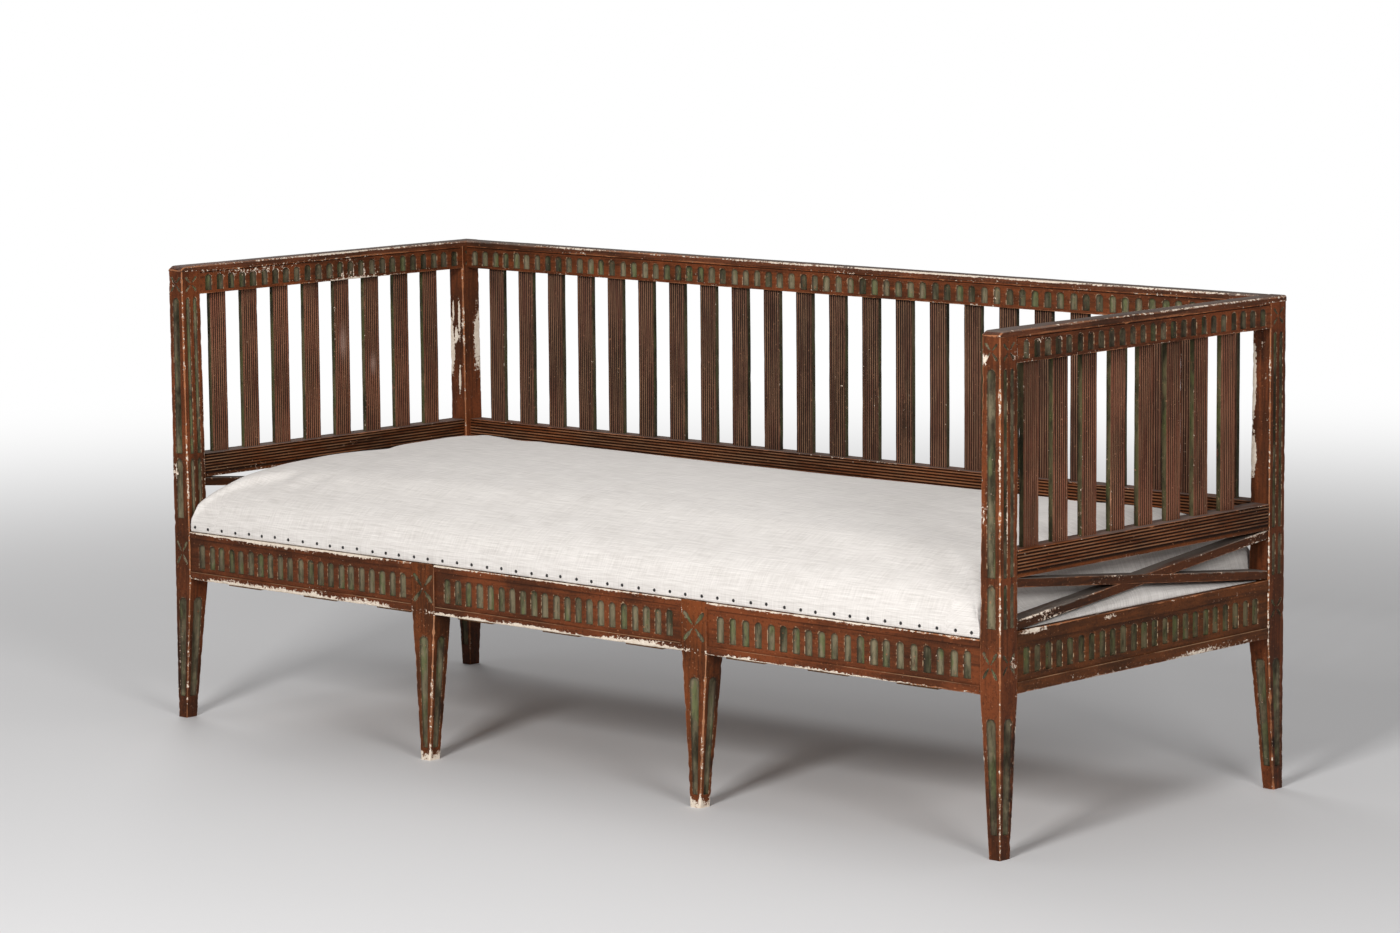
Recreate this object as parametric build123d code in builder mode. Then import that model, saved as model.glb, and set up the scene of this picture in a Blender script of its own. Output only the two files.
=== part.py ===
"""Gustavian pull-out bench bed with slatted arms and back.

Millimetres, +Z up.  X runs along the bench (right-hand arm at +X as seen from the front),
+Y points to the back, and the origin is on the floor under the middle of the footprint.
The front rail, its two middle legs and the bed boards behind it slide out towards -Y.
"""
import os

from build123d import *

# ---------------------------------------------------------------- driving dimensions
length = 1950.0                  # over the outer faces of the posts
depth = 768.0
height = 840.0

post_depth = 45.0                # front to back
post_width = 41.0                # side to side at seat level
post_top_width = 36.0            # the inner face leans, so posts are slimmer at the top
foot_width = 23.0
foot_depth = 26.0

seat_rail_bottom = 262.0
side_rail_top = 362.0            # left, right and back seat rails
front_rail_top = 350.0
front_rail_thickness = 34.0
seat_rail_thickness = 30.0       # left, right and back seat rails

lower_rail_bottom = 447.0        # reeded rail under the slats
lower_rail_top = 491.0
lower_rail_reeds = 6
lower_rail_reed_pitch = 6.0
lower_rail_reed_depth = 1.6
top_rail_bottom = 787.0          # fluted rail over the slats
top_rail_top = 830.0
arm_rail_thickness = 36.0
back_rail_thickness = 33.0
cap_edge = 3.5                   # bevel along the long edges of the caps
cap_nose = 8.0                   # bevel of the arm caps' front ends

tenon_length = 17.0
tenon_thickness = 12.0
tenon_shoulder = 8.0             # left above and below each tenon

slat_width = 38.0
slat_thickness = 10.0
slat_housing = 10.0              # how far a slat goes into each rail
slat_reeds = 7
slat_reed_depth = 1.5
arm_slat_count = 8
arm_slat_rows = {"left": (-285.0, 78.3), "right": (-289.0, 75.2)}    # first centre, pitch
back_slat_count = 23
back_slat_pitch = 79.1

flute_width = 16.0
flute_depth = 2.5
top_flute_bottom = 792.5
top_flute_top = 821.5
arm_top_flute_count = 24
arm_top_flute_pitch = 27.6
back_top_flute_count = 66
back_top_flute_pitch = 28.2

frieze_recess = 2.5
front_frieze_bottom = 276.5
front_frieze_top = 338.5
front_flute_bottom = 284.5
front_flute_top = 328.5
side_frieze_bottom = 280.5
side_frieze_top = 342.0
side_flute_bottom = 290.5
side_flute_top = 334.5
side_flute_count = 23
side_flute_pitch = 28.1
front_panels = [(-637.5, 21, 26.5), (3.0, 21, 26.4), (644.0, 20, 27.6)]   # middle, flutes, pitch

wide_flute = 19.0
narrow_flute = 8.0
narrow_flute_pitch = 17.0
post_flute_depth = 2.5
post_flute_spans = [(369.0, 438.0), (450.0, 780.0)]
front_left_flute_spans = [(374.0, 484.0), (494.0, 782.0)]
leg_flute_share = 0.48           # of the tapering face that it is cut in
leg_flute_span = (40.0, 226.0)

middle_legs = {"left": -320.0, "right": 324.0}
middle_leg_width = 56.0
middle_leg_depth = 43.0
middle_leg_lap = 17.0            # thickness of the leg where it is halved into the front rail
middle_leg_flute_span = (22.0, 222.0)
block_width = 61.0               # plain block of the rail around each middle leg

cross_bar_height = 15.0
cross_bar_depth = 32.0
cross_bar_inset = 3.0            # behind the outer faces of the posts
cross_bar_housing = 4.0          # let into the posts

board_width = 85.0
board_thickness = 18.0
board_housing = 22.0
pullout_board_x = [-798.0, -598.0, -407.0, -203.0, 4.0, 200.0, 428.0, 607.0, 796.0]
fixed_board_x = [-890.0, -698.0, -502.5, -305.0, -99.5, 102.0, 314.0, 517.5, 701.5, 890.0]
fixed_board_bottom = 257.0
pullout_board_bottom = 257.6
pullout_board_back = 349.0
bearer_front = -338.0            # fixed bearer behind the front rail
bearer_thickness = 28.0
bearer_notch = 1.8               # free space over the sliding boards
batten_back = 348.0              # batten over the back ends of the sliding boards
batten_width = 30.0
batten_thickness = 28.0
batten_clearance = 0.6
side_clearance = 0.8             # between the front rail and the posts

ledger_width = 30.0
ledger_height = 20.0
seat_board_bottom = 350.5
seat_board_thickness = 18.0
seat_board_front = -378.5
seat_board_back = 352.0
seat_board_half = 932.0

pad_front = -382.4
pad_back = 366.0
pad_half = 937.5                 # inside the crossed bars
pad_lap = 967.0                  # linen drawn over the side rails under the crossed bars
pad_gap = 0.4
tack_pitch = 36.0
tack_count = 52
tack_height = 359.5
tack_head = 4.4

# ---------------------------------------------------------------- worked out from them
half_length = length / 2
half_depth = depth / 2
post_inner_x = half_length - post_width
top_inner_x = half_length - post_top_width
front_inner_y = -half_depth + post_depth
back_inner_y = half_depth - post_depth
arm_span = back_inner_y - front_inner_y
fixed_board_top = fixed_board_bottom + board_thickness
pullout_board_top = pullout_board_bottom + board_thickness
arm_rail_x = half_length - arm_rail_thickness / 2        # middle of an arm's rails
back_rail_y = half_depth - back_rail_thickness / 2       # middle of the back's rails
side_rail_x = half_length - seat_rail_thickness / 2
back_seat_rail_y = half_depth - seat_rail_thickness / 2
bearer_back = bearer_front + bearer_thickness
seat_board_top = seat_board_bottom + seat_board_thickness
os.makedirs("parts", exist_ok=True)


def finish(builder, name):
    """Label a finished piece and write it under the same name."""
    builder.part.label = name
    export_step(builder.part, f"parts/{name}.step")
    solids = builder.part.solids()
    print(f"{name:24s} solids {len(solids):3d}  volume {builder.part.volume / 1000:10.1f} cm3")


def post_width_at(z):
    """Width of a corner post at height z on its leaning stretch."""
    share = (z - side_rail_top) / (top_rail_bottom - side_rail_top)
    return post_width + (post_top_width - post_width) * min(max(share, 0.0), 1.0)


def flute_row(face_plane, count, pitch, bottom, top, middle=0.0, width=flute_width):
    """A row of flutes: cut square at the foot, arched in two strokes at the head."""
    half = width / 2
    with BuildSketch(face_plane) as row:
        with Locations((middle, bottom)):
            with GridLocations(pitch, 0, count, 1):
                Polygon(
                    (-half, 0),
                    (half, 0),
                    (half, top - bottom - 0.6 * half),
                    (0, top - bottom),
                    (-half, top - bottom - 0.6 * half),
                    align=None,
                )
    return row.sketch


def leaf_rosette(face_plane, middle, height, width, tall):
    """Four leaves crossing in an X, one gouge cut each."""
    with BuildSketch(face_plane) as leaves:
        for across, up in ((1, 1), (-1, 1), (-1, -1), (1, -1)):
            with Locations((middle, height)):
                Polygon(
                    (across * 0.08 * width, up * 0.08 * tall),
                    (across * 0.38 * width, up * 0.16 * tall),
                    (across * 0.5 * width, up * 0.5 * tall),
                    (across * 0.16 * width, up * 0.38 * tall),
                    align=None,
                )
    return leaves.sketch


# ---------------------------------------------------------------- corner posts
# Each post is one length of pine from floor to cap.  Outside faces are straight; the inner
# faces taper below the seat rail to a small foot and lean a little above it.


def post_front_outline(side):
    """The post seen from the front: straight outside, tapered inside."""
    outer = side * half_length
    with BuildSketch(Plane.XZ) as outline:
        with BuildLine():
            Polyline(
                (outer, 0),
                (outer - side * foot_width, 0),
                (outer - side * post_width, seat_rail_bottom),
                (outer - side * post_width, side_rail_top),
                (outer - side * post_top_width, top_rail_bottom),
                (outer - side * post_top_width, top_rail_top),
                (outer, top_rail_top),
                close=True,
            )
        make_face()
    return outline.sketch


def post_side_outline(back):
    """The post seen from the side: only the leg tapers."""
    outer = back * half_depth
    with BuildSketch(Plane.YZ) as outline:
        with BuildLine():
            Polyline(
                (outer, 0),
                (outer - back * foot_depth, 0),
                (outer - back * post_depth, seat_rail_bottom),
                (outer - back * post_depth, top_rail_top),
                (outer, top_rail_top),
                close=True,
            )
        make_face()
    return outline.sketch


def post_face_flutes(face_plane, width, offsets, spans):
    """Stopped flutes for one face of a post."""
    with BuildSketch(face_plane) as flutes:
        for bottom, top in spans:
            for offset in offsets:
                with Locations((offset, bottom)):
                    Polygon(
                        (-width / 2, 0.4 * width),
                        (0, 0),
                        (width / 2, 0.4 * width),
                        (width / 2, top - bottom - 0.4 * width),
                        (0, top - bottom),
                        (-width / 2, top - bottom - 0.4 * width),
                        align=None,
                    )
    return flutes.sketch


def leg_flute(face_plane, widths, middles, span):
    """One stopped flute that narrows with its leg.

    widths and middles hold the face's width and its centre line, at the floor and under the rail.
    """
    low, high = span

    def point(height, way):
        climb = height / seat_rail_bottom
        middle = middles[0] + (middles[1] - middles[0]) * climb
        width = leg_flute_share * (widths[0] + (widths[1] - widths[0]) * climb)
        return (middle + way * width / 2, height)

    arch = leg_flute_share * widths[1] / 3
    with BuildSketch(face_plane) as flute:
        Polygon(
            point(low, -1),
            point(low, 1),
            point(high - arch, 1),
            point(high, 0),
            point(high - arch, -1),
            align=None,
        )
    return flute.sketch


def tapered_face(face_x, face_y, across, slope):
    """Plane on a leg's tapering face, its height measured up the slope from the floor.

    across is the level direction along the face, and slope is the run inwards for each
    unit of height.
    """
    x_dir = Vector(*across)
    outward = x_dir.cross(Vector(0, 0, 1))
    normal = outward - Vector(0, 0, slope)
    return Plane(origin=(face_x, face_y, 0), x_dir=x_dir, z_dir=normal)


def cut_post_mortises(side, back):
    """Mortises for the arm's three rails and for the back's rails or none at the front."""
    reach = tenon_length
    arm_y = back * (half_depth - post_depth + reach / 2)
    arm_x = side * arm_rail_x
    for bottom, top in ((lower_rail_bottom, lower_rail_top), (top_rail_bottom, top_rail_top)):
        with Locations((arm_x, arm_y, (bottom + top) / 2)):
            Box(tenon_thickness, reach, top - bottom - 2 * tenon_shoulder, mode=Mode.SUBTRACT)
    with Locations((side * side_rail_x, arm_y, (seat_rail_bottom + side_rail_top) / 2)):
        Box(
            tenon_thickness,
            reach,
            side_rail_top - seat_rail_bottom - 2 * tenon_shoulder,
            mode=Mode.SUBTRACT,
        )
    if back < 0:
        return
    for bottom, top in ((lower_rail_bottom, lower_rail_top), (top_rail_bottom, top_rail_top)):
        middle = (bottom + top) / 2
        inner = half_length - post_width_at(middle)
        with Locations((side * (inner + reach / 2 - 1), back_rail_y, middle)):
            Box(reach + 2, tenon_thickness, top - bottom - 2 * tenon_shoulder, mode=Mode.SUBTRACT)
    middle = (seat_rail_bottom + side_rail_top) / 2
    tall = side_rail_top - seat_rail_bottom - 2 * tenon_shoulder
    with Locations((side * (post_inner_x + reach / 2), back_seat_rail_y, middle)):
        Box(reach, tenon_thickness, tall, mode=Mode.SUBTRACT)


def crossed_bar(side, rise):
    """One bar of the X from post to post; rise +1 climbs to the back, -1 to the front."""
    tall = cross_bar_height / 2
    low = side_rail_top + tall + 0.6
    high = lower_rail_bottom - tall - 0.6
    slope = rise * (high - low) / arm_span
    reach = arm_span / 2 + cross_bar_housing
    middle = (low + high) / 2
    drop = slope * reach
    plane = Plane(
        origin=(side * (half_length - cross_bar_inset), 0, 0),
        x_dir=(0, side, 0),
        z_dir=(side, 0, 0),
    )
    with BuildSketch(plane) as outline:
        Polygon(
            (-side * reach, middle - drop - tall),
            (side * reach, middle + drop - tall),
            (side * reach, middle + drop + tall),
            (-side * reach, middle - drop + tall),
            align=None,
        )
    return outline.sketch


for side, side_name in ((-1, "left"), (1, "right")):
    for back, back_name in ((-1, "front"), (1, "back")):
        outer_plane = Plane(
            origin=(side * half_length, back * (half_depth - post_depth / 2), 0),
            x_dir=(0, side, 0),
            z_dir=(side, 0, 0),
        )
        inner_plane = Plane(
            origin=(side * top_inner_x, back * (half_depth - post_depth / 2), 0),
            x_dir=(0, -side, 0),
            z_dir=(-side, 0, 0),
        )
        front_plane = Plane(
            origin=(side * (half_length - post_top_width / 2), -half_depth, 0),
            x_dir=(1, 0, 0),
            z_dir=(0, -1, 0),
        )
        pair = [-narrow_flute_pitch / 2, narrow_flute_pitch / 2]
        leg_widths = (foot_width, post_width)
        leg_depths = (foot_depth, post_depth)
        leg_turn = back * side * (post_depth - foot_depth) / 2
        spans = post_flute_spans
        if (side, back) == (-1, -1):
            spans = front_left_flute_spans
        top_rosette = (top_flute_bottom + top_flute_top) / 2
        foot_rosette = (side_flute_bottom + side_flute_top) / 2
        with BuildPart() as post:
            extrude(post_front_outline(side), amount=depth, both=True)
            extrude(post_side_outline(back), amount=length, both=True, mode=Mode.INTERSECT)
            carving = [
                post_face_flutes(outer_plane, narrow_flute, pair, spans),
                leg_flute(outer_plane, leg_depths, (leg_turn, 0), leg_flute_span),
                leaf_rosette(outer_plane, 0, top_rosette, 30, 33),
                leaf_rosette(outer_plane, 0, foot_rosette, 34, 38),
                leaf_rosette(inner_plane, 0, top_rosette, 30, 33),
            ]
            if back < 0:
                foot_middle = side * (post_top_width - foot_width) / 2
                block_middle = -side * (post_width - post_top_width) / 2
                leg_middles = (foot_middle, block_middle)
                inner_leg = tapered_face(
                    side * (half_length - foot_width),
                    -half_depth + foot_depth / 2,
                    (0, -side, 0),
                    (post_width - foot_width) / seat_rail_bottom,
                )
                carving.append(post_face_flutes(front_plane, wide_flute, [0], spans))
                carving.append(leg_flute(front_plane, leg_widths, leg_middles, leg_flute_span))
                carving.append(leg_flute(inner_leg, leg_depths, (0, leg_turn), leg_flute_span))
                carving.append(leaf_rosette(front_plane, 0, top_rosette, 28, 33))
                carving.append(leaf_rosette(front_plane, block_middle, 310.0, 34, 52))
            else:
                rear_leg = tapered_face(
                    side * (half_length - foot_width / 2),
                    half_depth - foot_depth,
                    (1, 0, 0),
                    (post_depth - foot_depth) / seat_rail_bottom,
                )
                rear_middles = (0, side * (foot_width - post_width) / 2)
                carving.append(leg_flute(rear_leg, leg_widths, rear_middles, leg_flute_span))
            for cuts in carving:
                extrude(cuts, amount=-post_flute_depth, mode=Mode.SUBTRACT)
            cut_post_mortises(side, back)
            for rise in (1, -1):
                extrude(crossed_bar(side, rise), amount=-cross_bar_depth, mode=Mode.SUBTRACT)
        finish(post, f"{back_name}_{side_name}_post")

# ---------------------------------------------------------------- crossed bars
# Two bars cross under each arm, halved over each other and let into the posts.  The bar that
# climbs to the front keeps its outer half at the crossing.
for side, side_name in ((-1, "left"), (1, "right")):
    half_bar = cross_bar_depth / 2
    with BuildPart() as back_bar:
        extrude(crossed_bar(side, 1), amount=-cross_bar_depth)
        extrude(crossed_bar(side, -1), amount=-half_bar, mode=Mode.SUBTRACT)
    finish(back_bar, f"{side_name}_bar_to_back")
    with BuildPart() as front_bar:
        extrude(crossed_bar(side, -1), amount=-cross_bar_depth)
        extrude(
            crossed_bar(side, 1).moved(Location((-side * half_bar, 0, 0))),
            amount=-half_bar,
            mode=Mode.SUBTRACT,
        )
    finish(front_bar, f"{side_name}_bar_to_front")

# ---------------------------------------------------------------- rails of the arms
# Stub tenons at both ends go into the posts.  The lower rail is reeded on both faces and the
# top rail fluted on both; slats stand in mortises cut in each.


def arm_tenons(centre_x, bottom, top):
    """The two stub tenons of a rail that runs from front to back."""
    for back in (-1, 1):
        with Locations((centre_x, back * (arm_span + tenon_length) / 2, (bottom + top) / 2)):
            Box(tenon_thickness, tenon_length, top - bottom - 2 * tenon_shoulder)


def reed_grooves(face_plane, run):
    """Grooves between the reeds of a lower rail, seen on its end and swept along it."""
    with BuildSketch(face_plane) as grooves:
        top = lower_rail_top - lower_rail_reed_pitch
        for index in range(lower_rail_reeds):
            with Locations((0, top - index * lower_rail_reed_pitch)):
                Polygon(
                    (-run, -1.1),
                    (run, -1.1),
                    (run, 1.1),
                    (-run, 1.1),
                    align=None,
                )
    return grooves.sketch


def arm_slat_y(side_name):
    """Middles of an arm's slats."""
    first, pitch = arm_slat_rows[side_name]
    return [first + index * pitch for index in range(arm_slat_count)]


back_slat_x = [(index - (back_slat_count - 1) / 2) * back_slat_pitch for index in range(back_slat_count)]

for side, side_name in ((-1, "left"), (1, "right")):
    centre_x = side * arm_rail_x
    faces = []
    for facing in (-1, 1):
        faces.append(
            Plane(
                origin=(centre_x + facing * arm_rail_thickness / 2, 0, 0),
                x_dir=(0, facing, 0),
                z_dir=(facing, 0, 0),
            )
        )
    with BuildPart() as lower_rail:
        with Locations((centre_x, 0, (lower_rail_bottom + lower_rail_top) / 2)):
            Box(arm_rail_thickness, arm_span, lower_rail_top - lower_rail_bottom)
        arm_tenons(centre_x, lower_rail_bottom, lower_rail_top)
        for face in faces:
            extrude(
                reed_grooves(face, arm_span / 2),
                amount=-lower_rail_reed_depth,
                mode=Mode.SUBTRACT,
            )
        with Locations([(centre_x, y, lower_rail_top - slat_housing / 2) for y in arm_slat_y(side_name)]):
            Box(slat_thickness, slat_width, slat_housing, mode=Mode.SUBTRACT)
    finish(lower_rail, f"{side_name}_lower_rail")

    with BuildPart() as top_rail:
        with Locations((centre_x, 0, (top_rail_bottom + top_rail_top) / 2)):
            Box(arm_rail_thickness, arm_span, top_rail_top - top_rail_bottom)
        arm_tenons(centre_x, top_rail_bottom, top_rail_top)
        for face in faces:
            extrude(
                flute_row(
                    face, arm_top_flute_count, arm_top_flute_pitch, top_flute_bottom, top_flute_top
                ),
                amount=-flute_depth,
                mode=Mode.SUBTRACT,
            )
        with Locations([(centre_x, y, top_rail_bottom + slat_housing / 2) for y in arm_slat_y(side_name)]):
            Box(slat_thickness, slat_width, slat_housing, mode=Mode.SUBTRACT)
    finish(top_rail, f"{side_name}_top_rail")

# ---------------------------------------------------------------- rails of the back


def back_blank(bottom, top):
    """A back rail seen from the front, its ends cut to the leaning posts."""
    low = half_length - post_width_at(bottom)
    high = half_length - post_width_at(top)
    with BuildSketch(Plane.XZ.offset(-half_depth)) as outline:
        Polygon((-low, bottom), (low, bottom), (high, top), (-high, top), align=None)
    return outline.sketch


def back_tenons(centre_y, bottom, top):
    """Stub tenons of a rail that runs along the back."""
    middle = (bottom + top) / 2
    inner = half_length - post_width_at(middle)
    for side in (-1, 1):
        with Locations((side * (inner + tenon_length / 2 - 1), centre_y, middle)):
            Box(tenon_length + 2, tenon_thickness, top - bottom - 2 * tenon_shoulder)


back_face = Plane(
    origin=(0, half_depth - back_rail_thickness, 0),
    x_dir=(1, 0, 0),
    z_dir=(0, -1, 0),
)
back_outside = Plane(origin=(0, half_depth, 0), x_dir=(-1, 0, 0), z_dir=(0, 1, 0))
with BuildPart() as back_lower_rail:
    extrude(back_blank(lower_rail_bottom, lower_rail_top), amount=back_rail_thickness)
    back_tenons(back_rail_y, lower_rail_bottom, lower_rail_top)
    for face in (back_face, back_outside):
        extrude(
            reed_grooves(face, half_length - post_width_at(lower_rail_top) - 1),
            amount=-lower_rail_reed_depth,
            mode=Mode.SUBTRACT,
        )
    with Locations([(x, back_rail_y, lower_rail_top - slat_housing / 2) for x in back_slat_x]):
        Box(slat_width, slat_thickness, slat_housing, mode=Mode.SUBTRACT)
finish(back_lower_rail, "back_lower_rail")

with BuildPart() as back_top_rail:
    extrude(back_blank(top_rail_bottom, top_rail_top), amount=back_rail_thickness)
    back_tenons(back_rail_y, top_rail_bottom, top_rail_top)
    extrude(
        flute_row(
            back_face, back_top_flute_count, back_top_flute_pitch, top_flute_bottom, top_flute_top
        ),
        amount=-flute_depth,
        mode=Mode.SUBTRACT,
    )
    with Locations([(x, back_rail_y, top_rail_bottom + slat_housing / 2) for x in back_slat_x]):
        Box(slat_width, slat_thickness, slat_housing, mode=Mode.SUBTRACT)
finish(back_top_rail, "back_top_rail")

# ---------------------------------------------------------------- caps
# Flat boards nailed over the top rails and the ends of the posts.
for side, side_name in ((-1, "left"), (1, "right")):
    cap_height = height - top_rail_top
    with BuildPart() as arm_cap:
        with Locations((side * arm_rail_x, 0, top_rail_top + cap_height / 2)):
            Box(arm_rail_thickness, depth, cap_height)
        top_edges = arm_cap.edges().filter_by(Axis.Y).group_by(Axis.Z)[-1]
        chamfer(top_edges, cap_edge)
        nose = arm_cap.edges().filter_by(Axis.X).group_by(Axis.Y)[0].group_by(Axis.Z)[-1]
        chamfer(nose, 5.0, cap_nose)
    finish(arm_cap, f"{side_name}_cap")
with BuildPart() as back_cap:
    with Locations((0, back_rail_y, (top_rail_top + height) / 2)):
        Box(2 * (half_length - arm_rail_thickness), back_rail_thickness, height - top_rail_top)
    chamfer(back_cap.edges().filter_by(Axis.X).group_by(Axis.Z)[-1], cap_edge)
finish(back_cap, "back_cap")

# ---------------------------------------------------------------- reeded slats
# Thin slats with seven reeds, standing in the mortises of the rails.  The arms' slats are
# reeded on both faces, the back's only towards the seat.
slat_bottom = lower_rail_top - slat_housing
slat_height = top_rail_bottom + slat_housing - slat_bottom


def slat_section(plane, both_faces=True):
    """Cross-section of a slat: crests and V-cuts of the reeds, one face left plain if asked."""
    half_pitch = slat_width / slat_reeds / 2
    half_t = slat_thickness / 2
    front = []
    for index in range(2 * slat_reeds - 1):
        crest = index % 2 == 0
        level = -half_t if crest else slat_reed_depth - half_t
        front.append(((index + 1) * half_pitch - slat_width / 2, level))
    front[0] = (-slat_width / 2, -half_t)
    front[-1] = (slat_width / 2, -half_t)
    if both_faces:
        back = [(-x, -y) for x, y in front]
    else:
        back = [(slat_width / 2, half_t), (-slat_width / 2, half_t)]
    with BuildSketch(plane) as section:
        Polygon(*front, *back, align=None)
    return section.sketch


for side, side_name in ((-1, "left"), (1, "right")):
    for number, y in enumerate(arm_slat_y(side_name), start=1):
        stand = Plane(origin=(side * arm_rail_x, y, slat_bottom), x_dir=(0, 1, 0), z_dir=(0, 0, 1))
        with BuildPart() as slat:
            extrude(slat_section(stand), amount=slat_height)
        finish(slat, f"{side_name}_slat_{number}")

with BuildPart() as back_slats:
    for x in back_slat_x:
        stand = Plane(origin=(x, back_rail_y, slat_bottom), x_dir=(1, 0, 0), z_dir=(0, 0, 1))
        extrude(slat_section(stand, both_faces=False), amount=slat_height)
finish(back_slats, "back_slats")

# ---------------------------------------------------------------- seat rails of the arms and back
for side, side_name in ((-1, "left"), (1, "right")):
    outside = Plane(origin=(side * half_length, 0, 0), x_dir=(0, side, 0), z_dir=(side, 0, 0))
    with BuildPart() as seat_rail:
        with Locations((side * side_rail_x, 0, (seat_rail_bottom + side_rail_top) / 2)):
            Box(seat_rail_thickness, arm_span, side_rail_top - seat_rail_bottom)
        arm_tenons(side * side_rail_x, seat_rail_bottom, side_rail_top)
        frieze_middle = (side_frieze_bottom + side_frieze_top) / 2
        with Locations((side * (half_length - frieze_recess / 2), 0, frieze_middle)):
            Box(frieze_recess, arm_span, side_frieze_top - side_frieze_bottom, mode=Mode.SUBTRACT)
        extrude(
            flute_row(
                outside.offset(-frieze_recess),
                side_flute_count,
                side_flute_pitch,
                side_flute_bottom,
                side_flute_top,
                middle=-side * 3.5,
            ),
            amount=-flute_depth,
            mode=Mode.SUBTRACT,
        )
        bearer_mortise = side * (half_length - seat_rail_thickness + 6)
        bearer_middle = (fixed_board_top + front_rail_top) / 2
        with Locations((bearer_mortise, bearer_front + bearer_thickness / 2, bearer_middle)):
            Box(12, 12, 50, mode=Mode.SUBTRACT)
    finish(seat_rail, f"{side_name}_seat_rail")

with BuildPart() as back_seat_rail:
    with Locations((0, back_seat_rail_y, (seat_rail_bottom + side_rail_top) / 2)):
        Box(2 * post_inner_x, seat_rail_thickness, side_rail_top - seat_rail_bottom)
    back_tenons(back_seat_rail_y, seat_rail_bottom, side_rail_top)
    board_end = half_depth - seat_rail_thickness + 15
    with Locations([(x, board_end - 7.5, (seat_rail_bottom + fixed_board_top) / 2) for x in fixed_board_x]):
        Box(board_width, 15, fixed_board_top - seat_rail_bottom, mode=Mode.SUBTRACT)
finish(back_seat_rail, "back_seat_rail")

# ---------------------------------------------------------------- fixed bearer, ledgers, seat board
with BuildPart() as bearer:
    bearer_top = seat_board_bottom
    with Locations((0, bearer_front + bearer_thickness / 2, (fixed_board_top + bearer_top) / 2)):
        Box(2 * (half_length - seat_rail_thickness), bearer_thickness, bearer_top - fixed_board_top)
    for side in (-1, 1):
        tongue = side * (half_length - seat_rail_thickness + 5)
        with Locations((tongue, bearer_front + bearer_thickness / 2, bearer_middle)):
            Box(14, 12, 50)
    with Locations(
        [
            (x, bearer_front + bearer_thickness / 2, fixed_board_top + bearer_notch / 2)
            for x in pullout_board_x
        ]
    ):
        Box(board_width + 6, bearer_thickness, bearer_notch, mode=Mode.SUBTRACT)
finish(bearer, "fixed_bearer")

ledger_middle = seat_board_bottom - ledger_height / 2
ledger_inner = half_length - seat_rail_thickness - ledger_width
for side, side_name in ((-1, "left"), (1, "right")):
    with BuildPart() as ledger:
        run = back_inner_y - bearer_back
        with Locations(
            (side * (ledger_inner + ledger_width / 2), bearer_back + run / 2, ledger_middle)
        ):
            Box(ledger_width, run, ledger_height)
    finish(ledger, f"{side_name}_ledger")
with BuildPart() as back_ledger:
    with Locations((0, half_depth - seat_rail_thickness - ledger_width / 2, ledger_middle)):
        Box(2 * ledger_inner, ledger_width, ledger_height)
finish(back_ledger, "back_ledger")

with BuildPart() as seat_board:
    run = seat_board_back - seat_board_front
    with Locations((0, seat_board_front + run / 2, seat_board_bottom + seat_board_thickness / 2)):
        Box(2 * seat_board_half, run, seat_board_thickness)
finish(seat_board, "seat_board")

# ---------------------------------------------------------------- bed boards
# Fixed and sliding boards lie side by side like the teeth of two combs.
fixed_boards_back = half_depth - seat_rail_thickness + 15
with BuildPart() as fixed_boards:
    run = fixed_boards_back - bearer_front
    with Locations(
        [(x, bearer_front + run / 2, fixed_board_bottom + board_thickness / 2) for x in fixed_board_x]
    ):
        Box(board_width, run, board_thickness)
finish(fixed_boards, "fixed_boards")

with BuildPart() as sliding_boards:
    front_end = -half_depth + front_rail_thickness - board_housing
    run = pullout_board_back - front_end
    with Locations(
        [(x, front_end + run / 2, pullout_board_bottom + board_thickness / 2) for x in pullout_board_x]
    ):
        Box(board_width, run, board_thickness)
finish(sliding_boards, "sliding_boards")

with BuildPart() as batten:
    batten_half = post_inner_x - 2
    with Locations((0, batten_back - batten_width / 2, pullout_board_top + batten_thickness / 2)):
        Box(2 * batten_half, batten_width, batten_thickness)
finish(batten, "sliding_batten")

# ---------------------------------------------------------------- front rail and middle legs
with BuildPart() as front_rail:
    rail_middle_y = -half_depth + front_rail_thickness / 2
    rail_half = post_inner_x - side_clearance
    with Locations((0, rail_middle_y, (seat_rail_bottom + front_rail_top) / 2)):
        Box(2 * rail_half, front_rail_thickness, front_rail_top - seat_rail_bottom)
    frieze_middle = (front_frieze_bottom + front_frieze_top) / 2
    frieze_height = front_frieze_top - front_frieze_bottom
    edges = [-rail_half]
    for leg_x in middle_legs.values():
        edges += [leg_x - block_width / 2, leg_x + block_width / 2]
    edges.append(rail_half)
    for left, right in zip(edges[0::2], edges[1::2]):
        with Locations(((left + right) / 2, -half_depth + frieze_recess / 2, frieze_middle)):
            Box(right - left, frieze_recess, frieze_height, mode=Mode.SUBTRACT)
    frieze_face = Plane(
        origin=(0, -half_depth + frieze_recess, 0),
        x_dir=(1, 0, 0),
        z_dir=(0, -1, 0),
    )
    for middle, count, pitch in front_panels:
        extrude(
            flute_row(
                frieze_face, count, pitch, front_flute_bottom, front_flute_top, middle=middle
            ),
            amount=-flute_depth,
            mode=Mode.SUBTRACT,
        )
    for leg_x in middle_legs.values():
        with Locations(
            (leg_x, -half_depth + middle_leg_lap / 2, (seat_rail_bottom + front_rail_top) / 2)
        ):
            Box(
                middle_leg_width,
                middle_leg_lap,
                front_rail_top - seat_rail_bottom,
                mode=Mode.SUBTRACT,
            )
    notch_y = -half_depth + front_rail_thickness - board_housing / 2
    notch_tall = pullout_board_top - seat_rail_bottom
    with Locations([(x, notch_y, seat_rail_bottom + notch_tall / 2) for x in pullout_board_x]):
        Box(board_width, board_housing, notch_tall, mode=Mode.SUBTRACT)
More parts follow.
